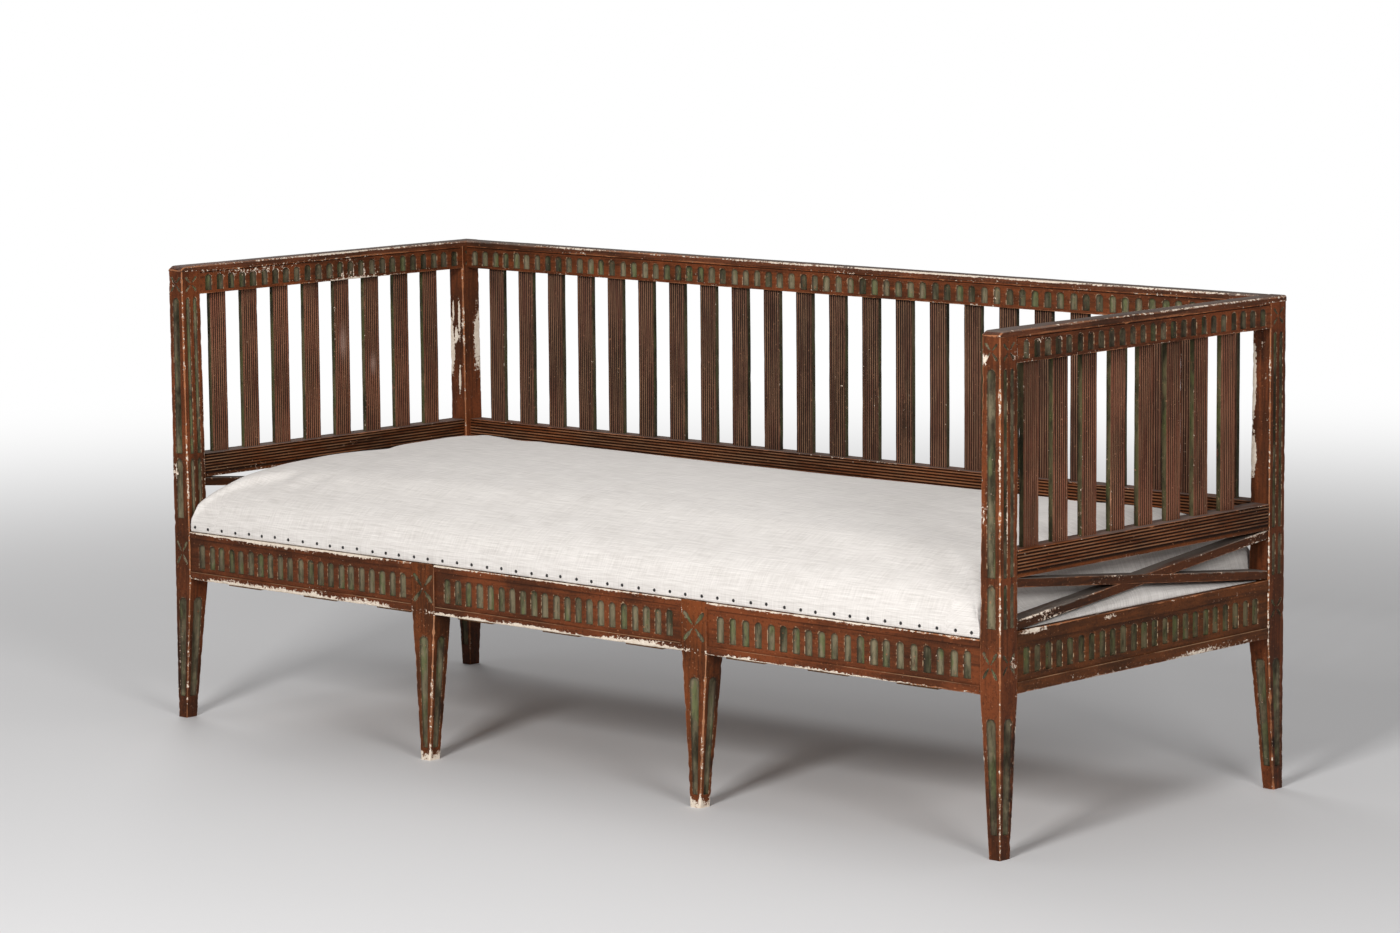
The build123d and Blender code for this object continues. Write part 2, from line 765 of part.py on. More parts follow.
finish(front_rail, "front_rail")

for leg_name, leg_x in middle_legs.items():
    half_top = middle_leg_width / 2
    half_foot = foot_width / 2
    with BuildPart() as middle_leg:
        with BuildSketch(Plane.XZ):
            Polygon(
                (leg_x - half_foot, 0),
                (leg_x + half_foot, 0),
                (leg_x + half_top, seat_rail_bottom),
                (leg_x + half_top, front_rail_top),
                (leg_x - half_top, front_rail_top),
                (leg_x - half_top, seat_rail_bottom),
                align=None,
            )
        extrude(amount=depth, both=True)
        with BuildSketch(Plane.YZ):
            Polygon(
                (-half_depth, 0),
                (-half_depth + foot_depth, 0),
                (-half_depth + middle_leg_depth, seat_rail_bottom),
                (-half_depth + middle_leg_lap, seat_rail_bottom),
                (-half_depth + middle_leg_lap, front_rail_top),
                (-half_depth, front_rail_top),
                align=None,
            )
        extrude(amount=length, both=True, mode=Mode.INTERSECT)
        leg_face = Plane(origin=(leg_x, -half_depth, 0), x_dir=(1, 0, 0), z_dir=(0, -1, 0))
        carving = [
            leg_flute(leg_face, (foot_width, middle_leg_width), (0, 0), middle_leg_flute_span),
            leaf_rosette(leg_face, 0, 306.5, 45, 49),
        ]
        for way in (-1, 1):
            leg_side = tapered_face(
                leg_x + way * half_foot,
                -half_depth + foot_depth / 2,
                (0, way, 0),
                (half_top - half_foot) / seat_rail_bottom,
            )
            side_widths = (foot_depth, middle_leg_depth)
            side_middles = (0, way * (middle_leg_depth - foot_depth) / 2)
            carving.append(leg_flute(leg_side, side_widths, side_middles, middle_leg_flute_span))
        for cuts in carving:
            extrude(cuts, amount=-post_flute_depth, mode=Mode.SUBTRACT)
    finish(middle_leg, f"{leg_name}_middle_leg")

# ---------------------------------------------------------------- linen cushion and tacks
# A stuffed linen seat nailed to the seat board's front edge.  It is caught under the crossed
# bars at both ends, and the front rail slides out beneath it.


def side_profile():
    """The cushion seen from the end of the bench."""
    with BuildSketch(Plane.YZ) as profile:
        Polygon(
            (pad_front, front_rail_top + 1.0),
            (seat_board_front - pad_gap, front_rail_top + 1.0),
            (seat_board_front - pad_gap, seat_board_top + pad_gap),
            (pad_back, seat_board_top + pad_gap),
            (pad_back, 392),
            (358, 426),
            (346, 446),
            (290, 470),
            (180, 480),
            (20, 482),
            (-120, 474),
            (-235, 458),
            (-300, 442),
            (-345, 424),
            (-370, 406),
            (pad_front, 380),
            align=None,
        )
    return profile.sketch


def front_profile():
    """The cushion seen from the front."""
    right = [(pad_half, 340), (pad_half, 396), (918, 428), (885, 452), (720, 472), (400, 482)]
    left = [(-x, z) for x, z in reversed(right)]
    with BuildSketch(Plane.XZ) as profile:
        Polygon(*right, *left, align=None)
    return profile.sketch


def lap_profile(side):
    """Linen lying on a side rail, its top kept under the crossed bars."""
    plane = Plane(origin=(side * pad_lap, 0, 0), x_dir=(0, side, 0), z_dir=(side, 0, 0))
    rise = (lower_rail_bottom - side_rail_top - cross_bar_height - 1.2) / 2
    with BuildSketch(plane) as profile:
        Polygon(
            (-330, side_rail_top + pad_gap),
            (330, side_rail_top + pad_gap),
            (300, side_rail_top + 3),
            (0, side_rail_top + rise - 2),
            (-300, side_rail_top + 3),
            align=None,
        )
    return profile.sketch


with BuildPart() as cushion:
    extrude(side_profile(), amount=length, both=True)
    extrude(front_profile(), amount=depth, both=True, mode=Mode.INTERSECT)
    notch = post_width + pad_gap
    for side in (-1, 1):
        for back in (-1, 1):
            notch_y = back * (half_depth - (post_depth + 1.0) / 2)
            with Locations((side * (half_length - notch / 2 - 0.6), notch_y, 400)):
                Box(notch + 1.2, post_depth + 1.0, 200, mode=Mode.SUBTRACT)
        extrude(lap_profile(side), amount=-(pad_lap - seat_board_half - pad_gap))
finish(cushion, "seat_cushion")

with BuildPart() as tacks:
    tack_face = Plane(
        origin=(0, pad_front, tack_height),
        x_dir=(1, 0, 0),
        z_dir=(0, -1, 0),
    )
    with BuildSketch(tack_face):
        with GridLocations(tack_pitch, 0, tack_count, 1):
            Rectangle(tack_head * 0.85, tack_head * 0.85)
    extrude(amount=half_depth + pad_front)
finish(tacks, "tacks")
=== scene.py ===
import math

import bpy
import numpy as np
from mathutils import Matrix, Vector


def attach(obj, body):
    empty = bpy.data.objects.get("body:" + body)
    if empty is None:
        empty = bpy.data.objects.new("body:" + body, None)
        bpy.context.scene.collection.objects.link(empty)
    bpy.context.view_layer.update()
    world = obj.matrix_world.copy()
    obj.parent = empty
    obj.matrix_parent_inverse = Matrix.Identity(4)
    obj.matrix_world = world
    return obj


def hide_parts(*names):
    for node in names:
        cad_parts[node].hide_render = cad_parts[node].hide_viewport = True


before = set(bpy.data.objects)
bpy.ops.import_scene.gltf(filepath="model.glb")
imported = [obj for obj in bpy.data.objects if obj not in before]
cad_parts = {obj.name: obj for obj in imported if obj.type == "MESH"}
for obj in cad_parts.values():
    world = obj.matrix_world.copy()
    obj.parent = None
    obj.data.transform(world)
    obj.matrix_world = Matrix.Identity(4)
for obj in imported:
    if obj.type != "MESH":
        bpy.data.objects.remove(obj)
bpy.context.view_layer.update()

# ---------------------------------------------------------------------------------------------
# The room: a pale floor, four soft lamps and the camera.
# The key lamp stands in front of the bench a little to the right and a weaker one at its right
# end, so each flute has one wall in light and one in shade.

def linear(red, green, blue):
    """Colour written as 0-255 screen values, turned into the linear values that shaders take."""
    share = np.array([red, green, blue]) / 255
    value = np.where(share <= 0.04045, share / 12.92, ((share + 0.055) / 1.055) ** 2.4)
    return (*[float(v) for v in value], 1.0)


def wire(tree, kind, options=None, **inputs):
    """Adds one shader node; a socket given as an input is linked, a value is written in."""
    made = tree.nodes.new(kind)
    for key, value in (options or {}).items():
        setattr(made, key, value)
    for key, value in inputs.items():
        key = key.replace("_", " ")
        socket = made.inputs[int(key[1:])] if key[0] == "i" and key[1:].isdigit() else made.inputs[key]
        if isinstance(value, bpy.types.NodeSocket):
            tree.links.new(value, socket)
        else:
            socket.default_value = value
    return made


def arithmetic(tree, operation):
    """A function that adds one arithmetic node for two values."""
    return lambda first, second: wire(tree, "ShaderNodeMath", {"operation": operation},
                                      i0=first, i1=second).outputs[0]


def surface(name, **settings):
    """A new material with its node tree and its main shader, the settings written in."""
    material = bpy.data.materials.new(name)
    material.use_nodes = True
    shader = material.node_tree.nodes["Principled BSDF"]
    for key, value in settings.items():
        shader.inputs[key.replace("_", " ")].default_value = value
    return material, material.node_tree, shader


def add_mesh(name, points, polygons, material):
    """A new smooth-shaded object made of points and polygons."""
    mesh = bpy.data.meshes.new(name)
    mesh.from_pydata(points, [], polygons)
    mesh.polygons.foreach_set("use_smooth", np.ones(len(polygons), bool))
    mesh.materials.append(material)
    made = bpy.data.objects.new(name, mesh)
    bpy.context.collection.objects.link(made)
    return made


def softbox(name, place, aim, size, power):
    """A square area lamp at place, turned to face aim."""
    data = bpy.data.lights.new(name, "AREA")
    data.shape = "SQUARE"
    data.size = size
    data.energy = power
    lamp = bpy.data.objects.new(name, data)
    bpy.context.collection.objects.link(lamp)
    lamp.location = place
    lamp.rotation_euler = (Vector(aim) - Vector(place)).to_track_quat("-Z", "Y").to_euler()


softbox("key_lamp", (2.2, -6.0, 3.3), (0, 0, 0.4), 1.3, 345)
softbox("side_lamp", (5.6, -2.8, 3.0), (0, 0, 0.4), 1.6, 142)
softbox("back_lamp", (-4.5, 2.0, 3.8), (0, 0, 0.5), 2.6, 60)
softbox("top_lamp", (0.0, 0.2, 4.6), (0, 0, 0.4), 4.0, 34)

camera_place = Vector((5.4522, -5.9923, 1.57))
yaw, pitch, roll = math.radians(42.342), math.radians(-7.459), math.radians(-0.467)
forward = Vector((-math.sin(yaw) * math.cos(pitch), math.cos(yaw) * math.cos(pitch), math.sin(pitch)))
level_right = forward.cross(Vector((0, 0, 1))).normalized()
level_up = level_right.cross(forward)
right = math.cos(roll) * level_right + math.sin(roll) * level_up
up = math.cos(roll) * level_up - math.sin(roll) * level_right
camera_data = bpy.data.cameras.new("camera")
camera_data.sensor_fit = "HORIZONTAL"
camera_data.sensor_width = 36.0
camera_data.lens = 119.02
camera_data.clip_end = 60.0
camera = bpy.data.objects.new("camera", camera_data)
bpy.context.collection.objects.link(camera)
camera_pose = Matrix((right, up, -forward)).transposed().to_4x4()
camera_pose.translation = camera_place
camera.matrix_world = camera_pose
bpy.context.scene.camera = camera
bpy.context.scene.view_settings.view_transform = "Standard"

world = bpy.data.worlds.new("room")
bpy.context.scene.world = world
world.use_nodes = True
room = world.node_tree
room.nodes.clear()
ambient = wire(room, "ShaderNodeBackground", Color=(0.97, 0.97, 0.98, 1), Strength=0.25)
shown = wire(room, "ShaderNodeBackground", Color=(1, 1, 1, 1), Strength=1.0)
ray = wire(room, "ShaderNodeLightPath")
pick = wire(room, "ShaderNodeMixShader", i0=ray.outputs["Is Camera Ray"], i1=ambient.outputs[0],
            i2=shown.outputs[0])
wire(room, "ShaderNodeOutputWorld", Surface=pick.outputs[0])

floor_paint, floor_tree, floor_shader = surface("pale_floor", Base_Color=linear(214, 213, 213),
                                                Roughness=0.55, Specular_IOR_Level=0.25)
far = wire(floor_tree, "ShaderNodeVectorMath", {"operation": "LENGTH"},
           i0=wire(floor_tree, "ShaderNodeTexCoord").outputs["Object"]).outputs["Value"]
fade = wire(floor_tree, "ShaderNodeMapRange", {"interpolation_type": "SMOOTHERSTEP"}, Value=far,
            From_Min=1.6, From_Max=6.0)
seen = wire(floor_tree, "ShaderNodeLightPath").outputs["Is Camera Ray"]
faded = arithmetic(floor_tree, "MULTIPLY")(fade.outputs[0], seen)
pale = wire(floor_tree, "ShaderNodeEmission", Color=linear(255, 255, 255), Strength=1.0)
floor_blend = wire(floor_tree, "ShaderNodeMixShader", i0=faded, i1=floor_shader.outputs[0],
                   i2=pale.outputs[0])
floor_tree.links.new(floor_blend.outputs[0], floor_tree.nodes["Material Output"].inputs["Surface"])
floor = add_mesh("floor", [(-30, -30, 0), (30, -30, 0), (30, 30, 0), (-30, 30, 0)], [(0, 1, 2, 3)],
                 floor_paint)

# ---------------------------------------------------------------------------------------------
# Old paint.  The bench is pine, primed with white gesso and painted brown-red over grey-green.
# Hollows keep the green, arrises are rubbed to tan wood, and the gesso shows where paint fell.
# The mesh carries its marks per point: hollow, arris, flake and dust, a shading mark for painted shade in
# grooves and painted highlights on crests, and a grime mark that darkens patches and paints shade into
# flutes.

def old_paint(name, along, body=(114, 59, 31), deep=(68, 36, 19), hollow=(120, 110, 87),
              bare=(168, 110, 74), dust=(108, 98, 92), line=(30, 18, 11), gloss=0.50, chips=1.0, rub=1.0):
    """Worn paint on wood whose grain runs along x, y or z."""
    paint, tree, shader = surface(name, Specular_IOR_Level=0.12)
    body, deep, bare, dust, line = (linear(*shade) for shade in (body, deep, bare, dust, line))
    operations = ("MULTIPLY", "ADD", "SUBTRACT", "MAXIMUM")
    times, plus, less, highest = (arithmetic(tree, operation) for operation in operations)
    place = wire(tree, "ShaderNodeTexCoord").outputs["Object"]
    squeeze = [1.0, 1.0, 1.0]
    squeeze["xyz".index(along)] = 0.07
    run = wire(tree, "ShaderNodeMapping", Vector=place, Scale=squeeze).outputs[0]
    upright = wire(tree, "ShaderNodeMapping", Vector=place, Scale=(1.0, 1.0, 0.28)).outputs[0]

    def noise(vector, scale, detail=4.0, rough=0.55):
        """Fractal noise between 0 and 1."""
        return wire(tree, "ShaderNodeTexNoise", Vector=vector, Scale=scale, Detail=detail,
                    Roughness=rough).outputs["Fac"]

    def rise(value, low, high):
        """Smooth step from 0 at low to 1 at high."""
        return wire(tree, "ShaderNodeMapRange", {"interpolation_type": "SMOOTHSTEP"}, Value=value,
                    From_Min=low, From_Max=high).outputs["Result"]

    def band(value, start, full, fading, gone):
        """Rises from start to full and falls again from fading to gone."""
        return times(rise(value, start, full), less(1.0, rise(value, fading, gone)))

    def blend(amount, first, second):
        """Mixes two colours by amount."""
        return wire(tree, "ShaderNodeMix", {"data_type": "RGBA"}, i0=amount, i6=first, i7=second).outputs[2]

    def mark(key):
        """A value painted on the mesh."""
        return wire(tree, "ShaderNodeAttribute", {"attribute_name": key}).outputs["Fac"]

    streak = noise(run, 190.0, 5.0, 0.62)
    fine = noise(place, 320.0, 3.0)
    mottled = rise(plus(times(noise(place, 7.0, 5.0), 0.62), times(streak, 0.38)), 0.38, 0.62)
    stripes = rise(noise(run, 60.0, 6.0, 0.7), 0.54, 0.7)
    freckles = rise(noise(place, 210.0, 4.0, 0.7), 0.50, 0.68)

    # hollows: green paint in three tones, painted shade on the flute walls, and a painted highlight along the
    # brim, partly paint rubbed pale
    depth = mark("hollow")
    shaded = linear(*np.multiply(hollow, (0.42, 0.44, 0.38)))
    greener = linear(*np.multiply(hollow, (0.80, 0.90, 0.76)))
    green = blend(rise(noise(upright, 26.0, 6.0, 0.66), 0.36, 0.60), shaded, linear(*hollow))
    green = blend(rise(noise(upright, 60.0, 4.0, 0.6), 0.50, 0.64), green, greener)
    green = blend(times(rise(noise(upright, 150.0, 5.0, 0.7), 0.50, 0.66), 0.6), green, shaded)
    kept_green = times(rise(depth, 0.14, 0.50), rise(plus(noise(upright, 90.0, 6.0, 0.7), 0.15), 0.40, 0.56))
    painted_wall_shade = band(depth, 0.10, 0.34, 0.42, 0.98)
    brim = band(depth, 0.01, 0.08, 0.12, 0.34)
    rubbed_brim_highlight = times(brim, rise(noise(place, 110.0, 5.0, 0.7), 0.50, 0.60))

    # the shading mark: painted shade in grooves, reed valleys and recess corners where it is positive, a
    # painted highlight on reed crests and the frieze's lower step where it is negative
    painted_shading = rise(mark("painted_shading"), 0.12, 0.72)
    step_and_crest_highlight = times(rise(times(mark("painted_shading"), -1.0), 0.2, 0.7),
                      rise(noise(run, 110.0, 5.0, 0.7), 0.38, 0.60))
    rubs = noise(run, 75.0, 6.0, 0.72)
    rubbed = rise(plus(times(mark("arris"), 0.37 * rub), times(rubs, 0.90)), 0.74, 0.90)
    specks = rise(noise(place, 230.0, 2.0), 0.68, 0.73)
    # grime mark: darker patches, and painted shade inside flutes on end faces and arm rails
    grime_and_shade_mask = times(mark("grime_and_shade"), rise(noise(place, 30.0, 5.0, 0.65), 0.28, 0.62))
    dusty = times(mark("dust"), rise(plus(noise(run, 24.0, 6.0, 0.7), times(fine, 0.2)), 0.42, 0.66))

    # paint falls where the noise is high, sooner on arrises and brims and where flakes are marked
    chip_noise = plus(times(noise(run, 60.0, 6.0, 0.74), 0.40), times(noise(place, 170.0, 6.0, 0.75), 0.60))
    edges = highest(brim, mark("arris"))
    flaky = times(mark("flake"), plus(times(edges, 0.22), 0.20))
    lift = plus(plus(times(mark("arris"), 0.052 * chips), flaky), times(brim, 0.026))
    chip_level = plus(chip_noise, lift)
    chipped = rise(chip_level, 0.640, 0.654)
    fallen = rise(chip_level, 0.616, 0.642)
    gesso = blend(noise(place, 140.0, 3.0), linear(188, 168, 146), linear(238, 228, 214))

    color = blend(mottled, deep, body)
    # coats in order; the wall, brim and shading coats and part of the grime coat are painted shade and
    # painted highlights
    coats = [(stripes, 0.6, line), (freckles, 0.45, line), (kept_green, 1.0, green), (painted_wall_shade, 0.66, line),
             (rubbed_brim_highlight, 0.6, linear(186, 166, 134)), (painted_shading, 0.93, line), (step_and_crest_highlight, 0.7, linear(168, 134, 102)),
             (rubbed, 0.8, bare), (specks, 0.55, bare), (grime_and_shade_mask, 1.0, line), (dusty, 1.0, dust),
             (fallen, 0.7, bare), (chipped, 1.0, gesso)]
    for mask, strength, coat in coats:
        color = blend(times(mask, strength), color, coat)
    rough = wire(tree, "ShaderNodeMath", {"operation": "ADD", "use_clamp": True},
                 i0=plus(times(fine, 0.22), gloss - 0.1), i1=times(highest(chipped, dusty), 0.35))
    relief = plus(plus(times(streak, 0.30), times(fallen, -0.9)), times(noise(run, 60.0, 6.0, 0.7), 0.35))
    bump = wire(tree, "ShaderNodeBump", Height=relief, Distance=0.0007, Strength=0.9)
    results = {"Base Color": color, "Roughness": rough.outputs[0], "Normal": bump.outputs[0]}
    for socket, value in results.items():
        tree.links.new(value, shader.inputs[socket])
    return paint


# ---------------------------------------------------------------------------------------------
# Corner posts: squared pine from floor to cap, outside faces straight, inner faces tapering.
# Stopped flutes run up the outer faces; the front faces carry one wide flute, and four gouged
# leaves mark each place where a rail is tenoned in.

def waver(t, seed, waves=7, longest=0.5):
    """Slow unevenness of hand work: a sum of sine waves of falling size and random phase."""
    draw = np.random.default_rng(seed)
    total = np.zeros_like(t)
    for k in range(waves):
        total += np.sin(t * 2 * np.pi / longest * 1.7 ** k + draw.uniform(0, 2 * np.pi)) * 0.72 ** k
    return total / 2.2


def wear(seed, radius, dents, size, rounded=(0, 1, 2, 3)):
    """Radii of a timber's arrises along it: a wavering radius plus bell-shaped dents, or crisp."""
    def rounding(t, k):
        if k not in rounded:
            return np.full_like(t, 0.0005)
        draw = np.random.default_rng(seed + k)
        worn = radius * (1 + 0.35 * waver(t, seed + k, 8, 0.3))
        for _ in range(dents):
            at = draw.uniform(t.min(), t.max())
            height = size * draw.uniform(0.3, 1.0)
            worn = worn + height * np.exp(-((t - at) / draw.uniform(0.002, 0.007)) ** 2)
        return np.clip(worn, 0.0004, 0.006)
    return rounding


def scoop(s, w, low, high, middle, width, deep, arch=1.0):
    """Hollow cut by a gouge: round across, square at the low end, arched at the high end.

    The arch is half an ellipse whose height is the given share of half the width.
    """
    half = width / 2
    over = np.maximum(s - (high - half * arch), 0) / arch
    bowl = 1 - ((w - middle) ** 2 + over ** 2) / half ** 2
    return deep * np.sqrt(np.clip(bowl, 0, 1)) * np.clip(bowl, 0, 1) ** 0.25 * (s >= low)


def leaves(s, w, s_middle, w_middle, reach_s, reach_w, deep):
    """Four gouged leaves crossing in an X: slim teardrops that widen away from the middle."""
    a = (s - s_middle) / reach_s
    b = (w - w_middle) / reach_w
    total = np.zeros_like(a)
    for turn in (1, -1):
        for way in (1, -1):
            out = (a * way + b * way * turn) / math.sqrt(2) - 0.64
            across = (a * way - b * way * turn) / math.sqrt(2)
            girth = 0.15 * (0.70 + 0.45 * np.clip(out / 0.5, -1, 1))
            total = np.maximum(total, 1 - (out / 0.50) ** 2 - (across / girth) ** 2)
    return deep * np.sqrt(np.clip(total, 0, 1))


def uncarved(face, s, w):
    """No depth, no hollow mark and no shading mark."""
    return (np.zeros_like(w),) * 3


def timber(name, along, stations, u_span, v_span, faces, corner, material, marks=None, carve=uncarved,
           crook=0.0, seed=1):
    """Squared timber: four faces of grid lines joined by four rounded corners, ring after ring.

    Along each face a point sits at a share of the width between the corner roundings, pushed in
    by the carving; each corner is a quarter circle of the arris radius.  The faces lie at low v,
    high u, high v and low u.  Marks hold what the paint needs at each point.
    """
    arris_reach = 0.0034
    s = np.asarray(stations, float)[:, None]
    u0, u1, v0, v1 = (np.broadcast_to(np.reshape(edge, (-1, 1)), s.shape) for edge in (*u_span, *v_span))
    radii = [corner(s, k) for k in range(4)]
    strips = []
    for face, (plane, inward) in enumerate(((v0, 1), (u1, -1), (v1, -1), (u0, 1))):
        low, high = (u0, u1) if face in (0, 2) else (v0, v1)
        share = np.asarray(faces[face], float)
        first, last = radii[face - 1], radii[face]
        if face in (2, 3):
            share = share[::-1]
            first, last = last, first
        w = np.clip(low + share * (high - low), low + first, high - last)
        deep, hollow, painted_shading = carve(face, np.broadcast_to(s, w.shape), w)
        level = plane + inward * deep
        arris = np.exp(-np.minimum(w - low, high - w) / arris_reach)
        strips.append(np.stack([*((w, level) if face in (0, 2) else (level, w)), hollow, arris, painted_shading], -1))
        radius = radii[face]
        turn = np.radians([22.5, 45.0, 67.5]) + math.radians(90 * (face - 1))
        u = (u1 - radius if face in (0, 1) else u0 + radius) + radius * np.cos(turn)
        v = (v0 + radius if face in (0, 3) else v1 - radius) + radius * np.sin(turn)
        arris = np.broadcast_to(np.clip(0.75 + radius / 0.006, 0, 1.3), u.shape)
        strips.append(np.stack([u, v, np.zeros_like(u), arris, np.zeros_like(u)], -1))
    u, v, hollow, arris, painted_shading = np.moveaxis(np.concatenate(strips, 1), -1, 0)
    axis = "xyz".index(along)
    points = np.empty((*u.shape, 3))
    points[..., axis] = s
    points[..., (axis + 1) % 3] = u + crook * waver(s, seed + 50, 5, 0.7)
    points[..., (axis + 2) % 3] = v + crook * waver(s, seed + 51, 5, 0.7)

    index = np.arange(u.size).reshape(u.shape)
    turned = np.roll(index, -1, axis=1)
    quads = np.stack([index[:-1], turned[:-1], turned[1:], index[1:]], -1).reshape(-1, 4).tolist()
    ends = [index[0, ::-1].tolist(), index[-1].tolist()]
    made = add_mesh(name, points.reshape(-1, 3).tolist(), quads + ends, material)
    made.data.set_sharp_from_angle(angle=math.radians(38))
    painted = {"hollow": hollow, "arris": arris, "painted_shading": painted_shading}
    painted.update({key: mark(points) for key, mark in (marks or {}).items()})
    for key, value in painted.items():
        layer = made.data.attributes.new(key, "FLOAT", "POINT")
        layer.data.foreach_set("value", np.asarray(value, np.float32).ravel())
    return made


def stands_for(piece, node, body="bench"):
    """Hides the drawn node a piece stands for and puts the piece on a body, the bench unless told otherwise.
    """
    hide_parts(node)
    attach(piece, body)


def spots(*places):
    """Mark that is strong near given places: each is x, y, z, a reach along each, and strength."""
    def mark(points):
        total = np.zeros(points.shape[:-1])
        for *place, strength in places:
            middle, reach = np.reshape(place, (2, 3))
            total = np.maximum(total, strength * np.exp(-(((points - middle) / reach) ** 2).sum(-1)))
        return total
    return mark


def steps(low, high, spacing, *cuts):
    """Grid lines at an even spacing, with a pair of close lines at each square cut."""
    even = np.linspace(low, high, max(2, int(round((high - low) / spacing)) + 1))
    return np.unique([*even, *[cut + d for cut in cuts for d in (-0.0002, 0.0002)]])


sides = ((-1, "left"), (1, "right"))
half_length, half_depth = 0.975, 0.384
post_depth, post_width, post_top_width = 0.045, 0.041, 0.036
foot_width, foot_depth = 0.023, 0.026
seat_rail_bottom, side_rail_top = 0.262, 0.362
lower_rail_bottom, lower_rail_top = 0.447, 0.491
top_rail_bottom, top_rail_top = 0.787, 0.830
post_spans = ((0.369, 0.438), (0.450, 0.780))
front_left_spans = ((0.374, 0.484), (0.494, 0.782))
leg_span = (0.040, 0.226)
leaf_height, leaf_reach, leaf_depth, leaf_mark = 0.807, 0.0165, 0.0022, 0.0007
leg_flute, wide_flute, narrow_flute = 0.0042, 0.0044, 0.0030
post_grid, rear_grid = np.linspace(0, 1, 31), np.linspace(0, 1, 7)
post_paint = old_paint("post_paint", "z", chips=1.5, rub=1.2)
post_flakes = {
    "front_left_post": ((-0.934, -0.384, 0.62, 0.006, 0.010, 0.15, 0.13),
                        (-0.934, -0.384, 0.46, 0.006, 0.012, 0.08, 0.13),
                        (-0.966, -0.384, 0.46, 0.007, 0.006, 0.016, 0.70),
                        (-0.960, -0.384, 0.808, 0.012, 0.01, 0.012, 0.34),
                        (-0.962, -0.384, 0.12, 0.008, 0.006, 0.05, 0.24)),
    "back_left_post": ((-0.9655, 0.339, 0.702, 0.0025, 0.003, 0.022, 1.70),
                       (-0.9500, 0.339, 0.690, 0.0030, 0.003, 0.036, 1.70),
                       (-0.9690, 0.339, 0.632, 0.0070, 0.003, 0.046, 1.70),
                       (-0.9580, 0.339, 0.655, 0.0060, 0.003, 0.016, 1.70),
                       (-0.9500, 0.339, 0.565, 0.0030, 0.003, 0.026, 1.70),
                       (-0.9340, 0.374, 0.643, 0.0080, 0.009, 0.056, 1.70)),
    "front_right_post": ((0.975, -0.384, 0.60, 0.006, 0.010, 0.12, 0.12),
                         (0.975, -0.384, 0.40, 0.008, 0.008, 0.05, 0.20),
                         (0.946, -0.384, 0.793, 0.006, 0.006, 0.012, 0.95),
                         (0.957, -0.384, 0.655, 0.005, 0.006, 0.020, 0.70),
                         (0.942, -0.384, 0.555, 0.004, 0.006, 0.028, 0.60),
                         (0.975, -0.352, 0.800, 0.006, 0.012, 0.018, 0.40),
                         (0.975, -0.366, 0.545, 0.006, 0.004, 0.050, 0.42),
                         (0.975, -0.352, 0.310, 0.006, 0.010, 0.014, 0.42)),
    "back_right_post": ((0.9400, 0.339, 0.690, 0.0060, 0.006, 0.056, 1.70),
                        (0.9420, 0.339, 0.572, 0.0070, 0.006, 0.034, 1.70),
                        (0.975, 0.339, 0.42, 0.006, 0.008, 0.05, 0.24))}
# Darker patches high on the front posts' wide flutes.
post_dark_patches = {"front_right_post": [(0.957, -0.380, 0.70, 0.009, 0.006, 0.11, 0.9)],
               "front_left_post": [(-0.957, -0.380, 0.64, 0.009, 0.006, 0.20, 0.8)]}


def between(a, b):
    """The lower and the higher of two places, or of two lines of places."""
    return np.minimum(a, b), np.maximum(a, b)


def post_carving(side, back, spans):
    """Flutes and rosettes of one post; a leg's flute narrows with the face it is on."""
    outer_x, outer_y = side * half_length, back * half_depth
    outer_face, inner_face = (1, 3) if side > 0 else (3, 1)

    def carve(face, s, w):
        deep, leaf = np.zeros_like(w), np.zeros_like(w)
        climb = s / seat_rail_bottom
        end_middle = outer_y - back * post_depth / 2
        if face == 0:
            wide = foot_width + (post_width - foot_width) * climb
            deep = scoop(s, w, *leg_span, outer_x - side * wide / 2, 0.52 * wide, leg_flute)
        if face == outer_face or (face == inner_face and back < 0):
            wide = foot_depth + (post_depth - foot_depth) * climb
            deep = scoop(s, w, *leg_span, outer_y - back * wide / 2, 0.52 * wide, leg_flute)
            for low, high in spans:
                for inset in (0.014, 0.031):
                    middle = outer_y - back * inset
                    deep = np.maximum(deep, scoop(s, w, low, high, middle, 0.0085, narrow_flute))
        if face == 0 and back < 0:
            middle = outer_x - side * 0.018
            for low, high in spans:
                deep = np.maximum(deep, scoop(s, w, low, high, middle, 0.0172, wide_flute))
            leaf = np.maximum(leaves(s, w, leaf_height, middle, leaf_reach, 0.015, leaf_depth),
                              leaves(s, w, 0.310, outer_x - side * 0.0205, 0.026, 0.017, 0.0026))
        if face in (outer_face, inner_face):
            leaf = leaves(s, w, leaf_height, end_middle, leaf_reach, leaf_reach, leaf_depth)
        if face == outer_face:
            leaf = np.maximum(leaf, leaves(s, w, 0.312, end_middle, 0.019, 0.018, leaf_depth))
        hollow = np.maximum(deep / narrow_flute, leaf / leaf_mark)
        return np.maximum(deep, leaf), np.clip(hollow, 0, 1), np.zeros_like(w)
    return carve


def post_grime_and_shade(outer_x, outer_y, dark_patches):
    """Darker patches at given places, and painted shade in the flutes of the end face."""
    def mark(points):
        below = np.abs(points[..., 0] - outer_x)
        fluted = (below < 0.0046) & (np.abs(points[..., 1] - outer_y) > 0.006)
        return np.maximum(spots(*dark_patches)(points), 0.62 * np.clip((below - 0.0006) / 0.0012, 0, 1) * fluted)
    return mark


